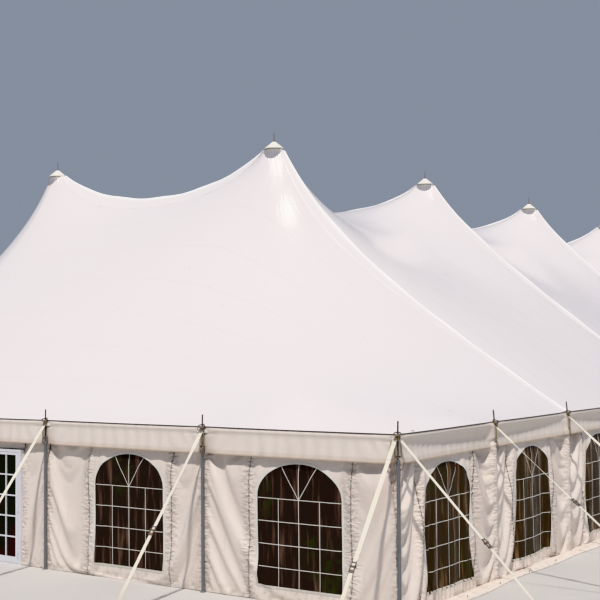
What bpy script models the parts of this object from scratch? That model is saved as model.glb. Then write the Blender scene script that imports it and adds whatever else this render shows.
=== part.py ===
"""Pole-supported marquee: a tensioned membrane roof over two rows of centre poles.

Metres, +Z up. The origin is on the ground at the middle of the plan. The short end
with the glazed door faces -Y, and the long sides face -X and +X.
"""
import math

import bmesh
import bpy
import numpy as np
from mathutils import Matrix, Vector

# Plan of the tent, from pole axis to pole axis
TENT_WIDTH = 19.0
TENT_LENGTH = 31.8
ROW_SPACING = 6.4
PEAK_PITCH = 6.6
PEAKS_PER_ROW = 4
END_POLE_INNER = 2.8

# Heights of the roof
EAVE_HEIGHT = 2.45
RIM_HEIGHT = 7.75

# Roof membrane
ROOF_THICKNESS = 0.010
RIM_RADIUS = 0.23
RIM_COLLAR = 0.02
LACING_STIFFNESS = 4.0
RIDGE_STIFFNESS = 1.0
GRID_GROWTH = 1.35
OUTER_CELLS = 7
INNER_CELLS = 4
END_CELLS = 6
BETWEEN_CELLS = 4

# Centre poles, with the bale ring that carries the roof and the spigot above it
CENTRE_POLE_RADIUS = 0.057
FOOT_RADIUS = 0.20
FOOT_THICKNESS = 0.012
RING_DEPTH = 0.08
RING_CONE = 0.06
RING_PROUD = 0.01
SPIGOT_RADIUS = 0.016
SPIGOT_PROUD = 0.17

# Weather caps over the bale rings
CAP_HEIGHT = 0.19
CAP_EDGE = 0.02
CAP_TIP_RADIUS = 0.045

# Side poles, with a socket and a pin at the top, and the cable along the eave
SIDE_POLE_RADIUS = 0.026
SOCKET_RADIUS = 0.030
SOCKET_HEIGHT = 0.06
PIN_BELOW_EAVE = 0.34
PIN_RADIUS = 0.007
PIN_PROUD = 0.18
CABLE_RADIUS = 0.0065
CABLE_DROP = 0.004

# Guy straps, with their eave webbing, ratchets and ground stakes
WEBBING_TOP_DROP = 0.04
WEBBING_WIDTH = 0.05
STRAP_WIDTH = 0.05
STRAP_THICKNESS = 0.004
STAKE_SIDE = 0.025
STAKE_HEIGHT = 0.12
STRAP_END_HEIGHT = 0.07
RATCHET_LENGTH = 0.16
RATCHET_WIDTH = 0.07
RATCHET_THICKNESS = 0.035
END_GUY_REACH = 1.95
END_CORNER_GUY_REACH = 1.72
SIDE_GUY_REACH = 2.75
SIDE_CORNER_GUY_REACH = 2.30
END_RATCHET_HEIGHT = 1.06
SIDE_RATCHET_HEIGHT = 1.30

# Valance, walls and their clear window film
VALANCE_DROP = 0.39
VALANCE_THICKNESS = 0.004
WALL_THICKNESS = 0.006
WALL_GROUND_GAP = 0.004
WINDOW_WIDTH = 1.40
WINDOW_SILL = 0.22
WINDOW_SPRING = 1.50
WINDOW_TOP = 1.97
WINDOW_ARC_STEPS = 8
FRONT_RIGHT_WINDOW_SHIFTS = (0.15, 0.035)
FILM_THICKNESS = 0.002
FILM_MARGIN = 0.08

# Glazed double door in the front wall
DOOR_FRAME_RIGHT = 2.20
DOOR_FRAME_WIDTH = 1.85
DOOR_FRAME_HEIGHT = 1.93
DOOR_FRAME_DEPTH = 0.08
DOOR_JAMB_WIDTH = 0.050
DOOR_HEAD_HEIGHT = 0.040
DOOR_THRESHOLD = 0.025
DOOR_EDGE_GAP = 0.005
DOOR_MEETING_GAP = 0.010
LEAF_THICKNESS = 0.040
LEAF_STILE = 0.065
LEAF_TOP_RAIL = 0.045
LEAF_BOTTOM_RAIL = 0.10
PANE_COLUMNS = 3
PANE_ROWS = 5
MUNTIN_WIDTH = 0.022
MUNTIN_DEPTH = 0.022
GLASS_THICKNESS = 0.006
HINGE_RADIUS = 0.011
HINGE_HEIGHT = 0.05
HINGE_PLATE_WIDTH = 0.035
HINGE_PLATE_THICKNESS = 0.003
HINGE_HEIGHTS = (0.25, 0.95, 1.65)
HINGE_SIDES = 8

# Clearance between pieces that touch, and facets of round pieces
CLEARANCE = 0.0003
RING_SIDES = 8
POLE_SIDES = 6

# Worked out from the sizes above
PEAK_X = ROW_SPACING / 2
HALF_WIDTH = TENT_WIDTH / 2
HALF_LENGTH = TENT_LENGTH / 2
PEAK_LINES = [PEAK_PITCH * (index - (PEAKS_PER_ROW - 1) / 2) for index in range(PEAKS_PER_ROW)]
SIDE_POLE_TOP = EAVE_HEIGHT - PIN_BELOW_EAVE
EAVE_INSET = max(PIN_RADIUS, CABLE_RADIUS) + CLEARANCE
EAVE_UNDERSIDE = EAVE_HEIGHT - ROOF_THICKNESS
VALANCE_FACE = SOCKET_RADIUS + CLEARANCE
WALL_FACE = VALANCE_FACE + VALANCE_THICKNESS + CLEARANCE
WALL_BACK = WALL_FACE + WALL_THICKNESS
VALANCE_BOTTOM = EAVE_HEIGHT - VALANCE_DROP
WALL_TOP = EAVE_UNDERSIDE - CLEARANCE
DOOR_FRAME_LEFT = DOOR_FRAME_RIGHT - DOOR_FRAME_WIDTH
SIDES = {"front": 0.0, "right": math.pi / 2, "back": math.pi, "left": -math.pi / 2}


def clear_scene():
    for obj in list(bpy.data.objects):
        bpy.data.objects.remove(obj, do_unlink=True)


def make_material(name, colour, roughness, metallic=0.0, alpha=1.0):
    material = bpy.data.materials.new(name)
    material.use_nodes = True
    shader = material.node_tree.nodes["Principled BSDF"]
    shader.inputs["Base Color"].default_value = (*colour, 1.0)
    shader.inputs["Roughness"].default_value = roughness
    shader.inputs["Metallic"].default_value = metallic
    shader.inputs["Alpha"].default_value = alpha
    return material


def make_object(name, bm, material=None, turn=0.0, parent=None):
    """Turn a bmesh into a named object; turn is a rotation about the vertical."""
    mesh = bpy.data.meshes.new(name)
    bm.to_mesh(mesh)
    bm.free()
    if material:
        mesh.materials.append(material)
    obj = bpy.data.objects.new(name, mesh)
    obj.rotation_euler.z = turn
    obj.parent = parent
    bpy.context.collection.objects.link(obj)
    return obj


def make_helper(name, bm, turn=0.0, parent=None):
    """A shape that only cuts or joins another object."""
    helper = make_object(name, bm, turn=turn, parent=parent)
    helper.hide_render = True
    helper.display_type = "WIRE"
    return helper


def apply_shape(obj, helper, operation):
    modifier = obj.modifiers.new(helper.name, "BOOLEAN")
    modifier.operation = operation
    modifier.solver = "EXACT"
    modifier.object = helper


def shade_round(obj, angle=math.radians(40)):
    obj.data.shade_smooth()
    obj.data.set_sharp_from_angle(angle=angle)


def add_box(bm, first, second, matrix=None):
    """A box between two opposite corners, moved by an optional matrix."""
    low = Vector(map(min, first, second))
    high = Vector(map(max, first, second))
    place = Matrix.Translation((low + high) / 2) @ Matrix.Diagonal((*(high - low), 1.0))
    if matrix:
        place = matrix @ place
    bmesh.ops.create_cube(bm, size=1.0, matrix=place)


def add_turned(bm, profile, sides, centre):
    """Spin a (radius, height) profile about a vertical line through centre (x, y)."""
    verts = [bm.verts.new((0.0, radius, height)) for radius, height in profile]
    edges = [bm.edges.new(pair) for pair in zip(verts, verts[1:])]
    if profile[0][0] > 0.0:
        edges.append(bm.edges.new((verts[-1], verts[0])))
    known = set(bm.verts) - set(verts)
    bmesh.ops.spin(
        bm, geom=verts + edges, cent=(0, 0, 0), axis=(0, 0, 1),
        angle=math.tau, steps=sides, use_merge=True, use_duplicate=False)
    fresh = [vert for vert in bm.verts if vert not in known]
    bmesh.ops.remove_doubles(bm, verts=fresh, dist=0.00005)
    fresh = [vert for vert in bm.verts if vert not in known]
    bmesh.ops.translate(bm, verts=fresh, vec=(centre[0], centre[1], 0.0))
    faces = {face for vert in fresh for face in vert.link_faces}
    bmesh.ops.recalc_face_normals(bm, faces=list(faces))


def graded(length, cells):
    """Distances from a bale ring outwards: the ring's own edge, then growing steps."""
    ring = RIM_RADIUS + RIM_COLLAR
    total = GRID_GROWTH ** cells - 1
    steps = [(GRID_GROWTH ** index - 1) / total for index in range(cells + 1)]
    return [0.0] + [ring + (length - ring) * step for step in steps]


def quarter_lines():
    """Grid lines of a quarter of the roof, from the middle of the plan to the eave."""
    inner = graded(PEAK_X, INNER_CELLS)
    outer = graded(HALF_WIDTH - EAVE_INSET - PEAK_X, OUTER_CELLS)
    columns = [PEAK_X - step for step in reversed(inner)] + [PEAK_X + step for step in outer[1:]]
    between = graded(PEAK_PITCH / 2, BETWEEN_CELLS)
    end = graded(HALF_LENGTH - EAVE_INSET - PEAK_LINES[-1], END_CELLS)
    rows = []
    for line in [line for line in PEAK_LINES if line > -CLEARANCE]:
        reach_back = [line - step for step in reversed(between)]
        reach_on = end if line == PEAK_LINES[-1] else between
        rows += [row for row in reach_back if row > -CLEARANCE and row not in rows]
        rows += [line + step for step in reach_on[1:]]
    return np.array(columns), np.unique(np.round(rows, 6))


def membrane(columns, rows):
    """Heights of a tensioned membrane held at the eave and at the bale rings.

    Each grid edge pulls like a cord. The lacing lines across the peaks and the
    ridge line along them carry webbing, so they pull harder.
    """
    dx, dy = np.diff(columns), np.diff(rows)
    share_x = np.concatenate([[dx[0] / 2], (dx[1:] + dx[:-1]) / 2, [dx[-1] / 2]])
    share_y = np.concatenate([[dy[0] / 2], (dy[1:] + dy[:-1]) / 2, [dy[-1] / 2]])
    pull_x = share_y[None, :] / dx[:, None]
    pull_y = share_x[:, None] / dy[None, :]
    ring = np.abs(columns - PEAK_X) <= RIM_RADIUS + RIM_COLLAR + CLEARANCE
    heights = np.full((len(columns), len(rows)), EAVE_HEIGHT)
    held = np.zeros(heights.shape, dtype=bool)
    held[-1, :] = True
    held[:, -1] = True
    for line in PEAK_LINES:
        row = int(np.argmin(np.abs(rows - line)))
        if line > 0:
            pull_x[:, row] += LACING_STIFFNESS / dx
            held[ring, row] = True
            heights[ring, row] = RIM_HEIGHT
    pull_y[int(np.argmin(np.abs(columns - PEAK_X))), :] += RIDGE_STIFFNESS / dy
    index = np.arange(heights.size).reshape(heights.shape)
    system = np.zeros((heights.size, heights.size))
    for first, second, pull in (
            (index[:-1], index[1:], pull_x), (index[:, :-1], index[:, 1:], pull_y)):
        first, second, pull = first.ravel(), second.ravel(), pull.ravel()
        np.add.at(system, (first, first), pull)
        np.add.at(system, (second, second), pull)
        np.add.at(system, (first, second), -pull)
        np.add.at(system, (second, first), -pull)
    free = ~held.ravel()
    flat = heights.ravel()
    load = -system[np.ix_(free, ~free)] @ flat[~free]
    flat[free] = np.linalg.solve(system[np.ix_(free, free)], load)
    return flat.reshape(heights.shape)


def whole_plan(columns, rows, heights):
    """Mirror the quarter plan into the whole roof."""
    skip_x = 1 if columns[0] < CLEARANCE else 0
    skip_y = 1 if rows[0] < CLEARANCE else 0
    all_columns = np.concatenate([-columns[::-1], columns[skip_x:]])
    all_rows = np.concatenate([-rows[::-1], rows[skip_y:]])
    half = np.concatenate([heights[::-1], heights[skip_x:]], axis=0)
    return all_columns, all_rows, np.concatenate([half[:, ::-1], half[:, skip_y:]], axis=1)


def roof_section(name, columns, rows, heights, low, high, material):
    """One roof section between two lacing lines, as a sheet with real thickness."""
    chosen = [row for row, place in enumerate(rows) if low - CLEARANCE <= place <= high + CLEARANCE]
    bm = bmesh.new()
    bmesh.ops.create_grid(
        bm, x_segments=len(columns) - 1, y_segments=len(chosen) - 1, size=1.0)
    for vert in bm.verts:
        column = round((vert.co.x + 1) / 2 * (len(columns) - 1))
        step = round((vert.co.y + 1) / 2 * (len(chosen) - 1))
        row = chosen[step]
        place = rows[row]
        if step == 0 and low > rows[0] + CLEARANCE:
            place += CLEARANCE / 2
        if step == len(chosen) - 1 and high < rows[-1] - CLEARANCE:
            place -= CLEARANCE / 2
        vert.co = (columns[column], place, heights[column, row])
    bmesh.ops.triangulate(bm, faces=bm.faces)
    sheet = bmesh.ops.extrude_face_region(bm, geom=list(bm.faces))
    lower = [item for item in sheet["geom"] if isinstance(item, bmesh.types.BMVert)]
    bmesh.ops.translate(bm, verts=lower, vec=(0, 0, -ROOF_THICKNESS))
    bmesh.ops.recalc_face_normals(bm, faces=bm.faces)
    return make_object(name, bm, material)


def build_roof(material):
    """Five roof sections, laced together across each line of peaks."""
    columns, rows = quarter_lines()
    columns, rows, heights = whole_plan(columns, rows, membrane(columns, rows))
    bm = bmesh.new()
    tall = RIM_HEIGHT - EAVE_HEIGHT
    for line in PEAK_LINES:
        for x in (-PEAK_X, PEAK_X):
            bmesh.ops.create_cone(
                bm, cap_ends=True, segments=RING_SIDES, radius1=RIM_RADIUS, radius2=RIM_RADIUS,
                depth=tall, matrix=Matrix.Translation((x, line, RIM_HEIGHT)))
    holes = make_helper("rim_holes", bm)
    edges = [rows[0]] + PEAK_LINES + [rows[-1]]
    middles = [f"roof_middle_{index + 1}" for index in range(len(edges) - 3)]
    names = ["roof_front_end"] + middles + ["roof_back_end"]
    for name, low, high in zip(names, edges, edges[1:]):
        section = roof_section(name, columns, rows, heights, low, high, material)
        apply_shape(section, holes, "DIFFERENCE")


def build_centre_poles(pole_material, cap_material):
    """Each centre pole carries a bale ring, and a weather cap sits over the ring."""
    facet = math.cos(math.pi / RING_SIDES)
    ring_radius = RIM_RADIUS - CLEARANCE / facet
    ring_top = RIM_HEIGHT + RING_PROUD
    cap_base = ring_top + CLEARANCE
    spigot_top = cap_base + CAP_HEIGHT + SPIGOT_PROUD
    bore = SPIGOT_RADIUS + CLEARANCE / facet
    pole_profile = [
        (0.0, 0.0), (FOOT_RADIUS, 0.0), (FOOT_RADIUS, FOOT_THICKNESS),
        (CENTRE_POLE_RADIUS, FOOT_THICKNESS),
        (CENTRE_POLE_RADIUS, ring_top - RING_DEPTH - RING_CONE),
        (ring_radius, ring_top - RING_DEPTH), (ring_radius, ring_top),
        (SPIGOT_RADIUS, ring_top), (SPIGOT_RADIUS, spigot_top), (0.0, spigot_top)]
    cap_profile = [
        (bore, cap_base), (ring_radius, cap_base), (ring_radius, cap_base + CAP_EDGE),
        (CAP_TIP_RADIUS, cap_base + CAP_HEIGHT), (bore, cap_base + CAP_HEIGHT)]
    number = 0
    for x in (-PEAK_X, PEAK_X):
        for line in PEAK_LINES:
            number += 1
            bm = bmesh.new()
            add_turned(bm, pole_profile, RING_SIDES, (0.0, 0.0))
            pole = make_object(f"centre_pole_{number}", bm, pole_material)
            pole.location = (x, line, 0.0)
            shade_round(pole)
            bm = bmesh.new()
            add_turned(bm, cap_profile, RING_SIDES, (0.0, 0.0))
            cap = make_object(f"peak_cap_{number}", bm, cap_material)
            cap.location = (x, line, 0.0)
            shade_round(cap)


def end_stations():
    """Places of the poles along an end wall, corners included."""
    outer = (END_POLE_INNER + HALF_WIDTH) / 2
    right = [END_POLE_INNER, outer, HALF_WIDTH]
    return [-place for place in reversed(right)] + [0.0] + right


def side_stations():
    """Places of the poles along a long wall, corners included."""
    places = [-HALF_LENGTH, -(HALF_LENGTH + PEAK_LINES[-1]) / 2]
    for line, following in zip(PEAK_LINES, PEAK_LINES[1:]):
        places += [line, (line + following) / 2]
    return places + [PEAK_LINES[-1], (HALF_LENGTH + PEAK_LINES[-1]) / 2, HALF_LENGTH]


def build_side_poles(side, half, along, stations, has_corners, material):
    """The poles of one side, joined at their pins by the cable along the eave."""
    own = stations if has_corners else stations[1:-1]
    top = EAVE_HEIGHT + PIN_PROUD
    profile = [
        (0.0, 0.0), (SIDE_POLE_RADIUS, 0.0), (SIDE_POLE_RADIUS, SIDE_POLE_TOP - SOCKET_HEIGHT),
        (SOCKET_RADIUS, SIDE_POLE_TOP - SOCKET_HEIGHT), (SOCKET_RADIUS, SIDE_POLE_TOP),
        (PIN_RADIUS, SIDE_POLE_TOP), (PIN_RADIUS, top), (0.0, top)]
    bm = bmesh.new()
    for place in own:
        add_turned(bm, profile, POLE_SIDES, (place, -half))
    poles = make_object(f"side_poles_{side}", bm, material, SIDES[side])
    reach = along if has_corners else along - PIN_RADIUS - CLEARANCE
    bm = bmesh.new()
    bmesh.ops.create_cone(
        bm, cap_ends=True, segments=POLE_SIDES, radius1=CABLE_RADIUS, radius2=CABLE_RADIUS,
        depth=2 * reach,
        matrix=Matrix.Translation((0, -half, EAVE_HEIGHT - CABLE_DROP)) @ Matrix.Rotation(math.pi / 2, 4, "Y"))
    cable = make_helper(f"eave_cable_{side}", bm, SIDES[side])
    apply_shape(poles, cable, "UNION")
    shade_round(poles)


def guy_frame(start, end):
    """A frame on a strap: X across it, Y down along it, Z out of its upper face."""
    down = (end - start).normalized()
    across = Vector((1, 0, 0))
    out = across.cross(down)
    frame = Matrix((across, down, out)).transposed().to_4x4()
    return Matrix.Translation(start) @ frame


def build_guys(side, half, stations, reach, corner_reach, ratchet_height, material):
    """Straps from the eave webbing down to stakes, each with its ratchet."""
    face = half + PIN_RADIUS + CLEARANCE
    webbing_top = EAVE_HEIGHT - WEBBING_TOP_DROP
    middle = webbing_top - WEBBING_WIDTH / 2
    webbing, straps, ratchets, stakes = (bmesh.new() for _ in range(4))
    add_box(
        webbing, (stations[0], -face, webbing_top),
        (stations[-1], -face - STRAP_THICKNESS, webbing_top - WEBBING_WIDTH))
    for place in stations:
        corner = place in (stations[0], stations[-1])
        if corner:
            place -= math.copysign(STRAP_WIDTH / 2 + PIN_RADIUS, place)
        run = corner_reach if corner else reach
        start = Vector((place, -face - STRAP_THICKNESS / 2, middle))
        end = Vector((place, -half - run, STRAP_END_HEIGHT))
        frame = guy_frame(start, end)
        length = (end - start).length
        add_box(
            straps, (-STRAP_WIDTH / 2, 0, -STRAP_THICKNESS / 2),
            (STRAP_WIDTH / 2, length, STRAP_THICKNESS / 2), frame)
        down = length * (middle - ratchet_height) / (middle - STRAP_END_HEIGHT)
        add_box(
            ratchets, (-RATCHET_WIDTH / 2, down - RATCHET_LENGTH / 2, -RATCHET_THICKNESS / 2),
            (RATCHET_WIDTH / 2, down + RATCHET_LENGTH / 2, RATCHET_THICKNESS / 2), frame)
        add_box(
            stakes, (place - STAKE_SIDE / 2, end.y - STAKE_SIDE / 2, 0),
            (place + STAKE_SIDE / 2, end.y + STAKE_SIDE / 2, STAKE_HEIGHT))
    guys = make_object(f"guys_{side}", webbing, material, SIDES[side])
    for label, bm in (("straps", straps), ("ratchets", ratchets), ("stakes", stakes)):
        helper = make_helper(f"guy_{label}_{side}", bm, SIDES[side])
        apply_shape(guys, helper, "UNION")


def build_valance(side, half, reach, material):
    bm = bmesh.new()
    add_box(
        bm, (-reach, -half + VALANCE_FACE, VALANCE_BOTTOM),
        (reach, -half + VALANCE_FACE + VALANCE_THICKNESS, WALL_TOP))
    make_object(f"valance_{side}", bm, material, SIDES[side])


def window_cutter(name, centres, half, turn):
    """Arched window shapes, each swept right through the wall."""
    bm = bmesh.new()
    rise = WINDOW_TOP - WINDOW_SPRING
    near = -half + WALL_FACE - WALL_THICKNESS
    for centre in centres:
        outline = [(-WINDOW_WIDTH / 2, WINDOW_SILL), (WINDOW_WIDTH / 2, WINDOW_SILL)]
        for step in range(WINDOW_ARC_STEPS + 1):
            angle = math.pi * step / WINDOW_ARC_STEPS
            outline.append((
                math.cos(angle) * WINDOW_WIDTH / 2, WINDOW_SPRING + math.sin(angle) * rise))
        face = bm.faces.new([bm.verts.new((centre + x, near, z)) for x, z in outline])
        swept = bmesh.ops.extrude_face_region(bm, geom=[face])
        verts = [item for item in swept["geom"] if isinstance(item, bmesh.types.BMVert)]
        bmesh.ops.translate(bm, verts=verts, vec=(0, 3 * WALL_THICKNESS, 0))
    bmesh.ops.recalc_face_normals(bm, faces=bm.faces)
    return make_helper(name, bm, turn)


def build_wall(
        name, side, half, low, high, stations, wall_material, film_material, film_name, shifts=()):
    """A fabric wall between low and high, with an arched window in each whole bay.

    A window stands in the middle of its bay, but for the shifts that the wall is given.
    """
    bm = bmesh.new()
    add_box(
        bm, (low, -half + WALL_FACE, WALL_GROUND_GAP), (high, -half + WALL_BACK, WALL_TOP))
    wall = make_object(name, bm, wall_material, SIDES[side])
    margin = WINDOW_WIDTH / 2
    middles = [(first + second) / 2 for first, second in zip(stations, stations[1:])]
    centres = [place for place in middles if low + margin < place < high - margin]
    for index, shift in enumerate(shifts):
        centres[index] += shift
    cutter = window_cutter(f"{name}_windows", centres, half, SIDES[side])
    apply_shape(wall, cutter, "DIFFERENCE")
    bm = bmesh.new()
    film = -half + WALL_BACK + CLEARANCE
    first = centres[0] - WINDOW_WIDTH / 2 - FILM_MARGIN
    last = centres[-1] + WINDOW_WIDTH / 2 + FILM_MARGIN
    add_box(
        bm, (first, film, WINDOW_SILL - FILM_MARGIN),
        (last, film + FILM_THICKNESS, WINDOW_TOP + FILM_MARGIN))
    make_object(film_name, bm, film_material, SIDES[side])


def build_side(side, half, along, stations, has_corners, materials):
    """Everything on one side of the tent except its wall."""
    if has_corners:
        reach, corner, ratchet = END_GUY_REACH, END_CORNER_GUY_REACH, END_RATCHET_HEIGHT
        valance_reach = along - VALANCE_FACE
    else:
        reach, corner, ratchet = SIDE_GUY_REACH, SIDE_CORNER_GUY_REACH, SIDE_RATCHET_HEIGHT
        valance_reach = along - VALANCE_FACE - VALANCE_THICKNESS - CLEARANCE
    build_side_poles(side, half, along, stations, has_corners, materials["pole"])
    build_guys(side, half, stations, reach, corner, ratchet, materials["webbing"])
    build_valance(side, half, valance_reach, materials["valance"])


def build_walls(materials):
    """Front and back walls cover the corners, and the long walls fit between them."""
    cloth, film = materials["wall"], materials["film"]
    end = HALF_WIDTH - WALL_FACE
    side = HALF_LENGTH - WALL_BACK - CLEARANCE
    left, right = DOOR_FRAME_LEFT - CLEARANCE, DOOR_FRAME_RIGHT + CLEARANCE
    ends, sides = end_stations(), side_stations()
    front_left = [place for place in ends if place < left]
    front_right = [place for place in ends if place > right]
    build_wall(
        "front_wall_left", "front", HALF_LENGTH, -end, left, front_left, cloth, film,
        "window_film_front_left")
    build_wall(
        "front_wall_right", "front", HALF_LENGTH, right, end, front_right, cloth, film,
        "window_film_front_right", FRONT_RIGHT_WINDOW_SHIFTS)
    bm = bmesh.new()
    add_box(
        bm, (left + CLEARANCE, -HALF_LENGTH + WALL_FACE, DOOR_FRAME_HEIGHT + CLEARANCE),
        (right - CLEARANCE, -HALF_LENGTH + WALL_BACK, WALL_TOP))
    make_object("front_wall_over_door", bm, cloth)
    build_wall("back_wall", "back", HALF_LENGTH, -end, end, ends, cloth, film, "window_film_back")
    for name in ("left", "right"):
        build_wall(
            f"{name}_wall", name, HALF_WIDTH, -side, side, sides, cloth, film,
            f"window_film_{name}")


def add_knuckle(bm, height, reach, depth, plate_low):
    """A hinge knuckle on the axis, with a plate that reaches back to its carrier."""
    bmesh.ops.create_cone(
        bm, cap_ends=True, segments=HINGE_SIDES, radius1=HINGE_RADIUS, radius2=HINGE_RADIUS,
        depth=HINGE_HEIGHT, matrix=Matrix.Translation((0, 0, height)))
    add_box(
        plate_low, (0, depth - HINGE_PLATE_THICKNESS, height - HINGE_HEIGHT / 2),
        (reach, depth + HINGE_PLATE_THICKNESS, height + HINGE_HEIGHT / 2))


def add_hinges(obj, name, side, reach, rise, parent, place=(0, 0, 0)):
    """Join hinge knuckles and their plates onto a door frame or a door leaf."""
    knuckles, plates = bmesh.new(), bmesh.new()
    for height in HINGE_HEIGHTS:
        add_knuckle(knuckles, height + rise, side * reach, HINGE_RADIUS, plates)
    for label, bm in (("plates", plates), ("knuckles", knuckles)):
        helper = make_helper(f"{name}_{label}", bm, parent=parent)
        helper.location = place
        apply_shape(obj, helper, "UNION")


def build_leaf(label, side, hinge_x, axis_y, face_y, width, materials):
    """One glazed leaf on its hinge axis; side is +1 where it reaches towards +X."""
    hinge = bpy.data.objects.new(f"hinge_{label}", None)
    hinge.location = (hinge_x, axis_y, 0.0)
    bpy.context.collection.objects.link(hinge)
    near = DOOR_EDGE_GAP / 2
    front = face_y - axis_y
    back = front + LEAF_THICKNESS
    bottom = DOOR_THRESHOLD + DOOR_EDGE_GAP
    top = DOOR_FRAME_HEIGHT - DOOR_HEAD_HEIGHT - DOOR_EDGE_GAP
    bm = bmesh.new()
    add_box(bm, (side * near, front, bottom), (side * (near + width), back, top))
    leaf = make_object(f"door_leaf_{label}", bm, materials["door"], parent=hinge)

    glass_low, glass_high = near + LEAF_STILE, near + width - LEAF_STILE
    glass_bottom, glass_top = bottom + LEAF_BOTTOM_RAIL, top - LEAF_TOP_RAIL
    recess = bmesh.new()
    add_box(
        recess, (side * glass_low, front + MUNTIN_DEPTH, glass_bottom),
        (side * glass_high, back + LEAF_THICKNESS, glass_top))
    apply_shape(leaf, make_helper(f"recess_{label}", recess, parent=hinge), "DIFFERENCE")
    panes = bmesh.new()
    pane_width = (glass_high - glass_low - (PANE_COLUMNS - 1) * MUNTIN_WIDTH) / PANE_COLUMNS
    pane_height = (glass_top - glass_bottom - (PANE_ROWS - 1) * MUNTIN_WIDTH) / PANE_ROWS
    for column in range(PANE_COLUMNS):
        for row in range(PANE_ROWS):
            x = glass_low + column * (pane_width + MUNTIN_WIDTH)
            z = glass_bottom + row * (pane_height + MUNTIN_WIDTH)
            add_box(
                panes, (side * x, front - MUNTIN_DEPTH, z),
                (side * (x + pane_width), back + LEAF_THICKNESS, z + pane_height))
    apply_shape(leaf, make_helper(f"panes_{label}", panes, parent=hinge), "DIFFERENCE")
    reach = near + HINGE_PLATE_WIDTH
    add_hinges(leaf, f"leaf_hinges_{label}", side, reach, (HINGE_HEIGHT + CLEARANCE) / 2, hinge)

    bm = bmesh.new()
    glass_front = front + MUNTIN_DEPTH + CLEARANCE
    add_box(
        bm, (side * (glass_low + CLEARANCE), glass_front, glass_bottom + CLEARANCE),
        (side * (glass_high - CLEARANCE), glass_front + GLASS_THICKNESS, glass_top - CLEARANCE))
    make_object(f"door_glass_{label}", bm, materials["glass"], parent=hinge)


def build_door(materials):
    """Door frame in the front wall, and two leaves that open outwards."""
    face_y = -HALF_LENGTH + WALL_FACE - (DOOR_FRAME_DEPTH - WALL_THICKNESS) / 2
    back_y = face_y + DOOR_FRAME_DEPTH
    bm = bmesh.new()
    add_box(
        bm, (DOOR_FRAME_LEFT, face_y, 0.0), (DOOR_FRAME_RIGHT, back_y, DOOR_FRAME_HEIGHT))
    frame = make_object("door_frame", bm, materials["door"])
    inner_left = DOOR_FRAME_LEFT + DOOR_JAMB_WIDTH
    inner_right = DOOR_FRAME_RIGHT - DOOR_JAMB_WIDTH
    bm = bmesh.new()
    add_box(
        bm, (inner_left, face_y - DOOR_FRAME_DEPTH, DOOR_THRESHOLD),
        (inner_right, back_y + DOOR_FRAME_DEPTH, DOOR_FRAME_HEIGHT - DOOR_HEAD_HEIGHT))
    apply_shape(frame, make_helper("door_opening", bm), "DIFFERENCE")
    width = (inner_right - inner_left - 2 * DOOR_EDGE_GAP - DOOR_MEETING_GAP) / 2
    axis_y = face_y - HINGE_RADIUS
    for label, side, edge in (("left", 1, inner_left), ("right", -1, inner_right)):
        hinge_x = edge + side * DOOR_EDGE_GAP / 2
        build_leaf(label, side, hinge_x, axis_y, face_y, width, materials)
        reach = DOOR_EDGE_GAP / 2 + HINGE_PLATE_WIDTH
        add_hinges(
            frame, f"frame_hinges_{label}", -side, reach, -(HINGE_HEIGHT + CLEARANCE) / 2, None,
            (hinge_x, axis_y, 0.0))


def main():
    clear_scene()
    materials = {
        "roof": make_material("roof_membrane", (0.86, 0.84, 0.82), 0.38),
        "cap": make_material("cap_fabric", (0.84, 0.83, 0.80), 0.50),
        "pole": make_material("aluminium_pole", (0.50, 0.52, 0.54), 0.38, 1.0),
        "webbing": make_material("guy_webbing", (0.78, 0.74, 0.62), 0.80),
        "valance": make_material("valance_fabric", (0.80, 0.77, 0.72), 0.55),
        "wall": make_material("wall_fabric", (0.78, 0.75, 0.70), 0.60),
        "film": make_material("window_film", (0.06, 0.05, 0.05), 0.10, alpha=0.6),
        "door": make_material("door_paint", (0.82, 0.80, 0.77), 0.35),
        "glass": make_material("door_glass", (0.05, 0.02, 0.02), 0.05, alpha=0.6),
    }
    build_roof(materials["roof"])
    build_centre_poles(materials["pole"], materials["cap"])
    for side in SIDES:
        if side in ("front", "back"):
            build_side(side, HALF_LENGTH, HALF_WIDTH, end_stations(), True, materials)
        else:
            build_side(side, HALF_WIDTH, HALF_LENGTH, side_stations(), False, materials)
    build_walls(materials)
    build_door(materials)


main()
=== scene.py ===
# %% [markdown]
# # A pole-supported marquee tent
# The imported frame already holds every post, guy and plane of cloth in its place. This script dresses
# it: the roof becomes a smooth tensioned membrane, the walls become hung cloth, and every fitting
# gets its finish. All lengths are metres, the ground is at zero and the door end faces -Y.

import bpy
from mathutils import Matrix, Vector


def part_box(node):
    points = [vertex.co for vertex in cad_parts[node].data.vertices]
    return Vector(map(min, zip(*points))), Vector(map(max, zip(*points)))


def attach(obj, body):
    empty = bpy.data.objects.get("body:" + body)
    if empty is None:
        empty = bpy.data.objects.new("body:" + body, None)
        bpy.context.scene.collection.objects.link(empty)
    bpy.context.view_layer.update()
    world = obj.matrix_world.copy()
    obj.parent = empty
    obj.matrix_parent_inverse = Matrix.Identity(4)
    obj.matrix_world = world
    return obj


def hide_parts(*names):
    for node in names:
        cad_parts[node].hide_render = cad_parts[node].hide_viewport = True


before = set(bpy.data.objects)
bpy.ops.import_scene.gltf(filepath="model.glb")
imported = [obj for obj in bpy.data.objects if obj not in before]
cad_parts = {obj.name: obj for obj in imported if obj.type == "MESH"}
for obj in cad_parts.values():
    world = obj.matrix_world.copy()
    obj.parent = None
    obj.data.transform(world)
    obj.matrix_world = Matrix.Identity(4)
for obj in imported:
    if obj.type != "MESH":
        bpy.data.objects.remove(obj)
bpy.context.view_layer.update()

# %% Libraries and the measures of the tent
import math
import bmesh
import bpy
import numpy as np
from mathutils import Matrix, Vector

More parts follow.
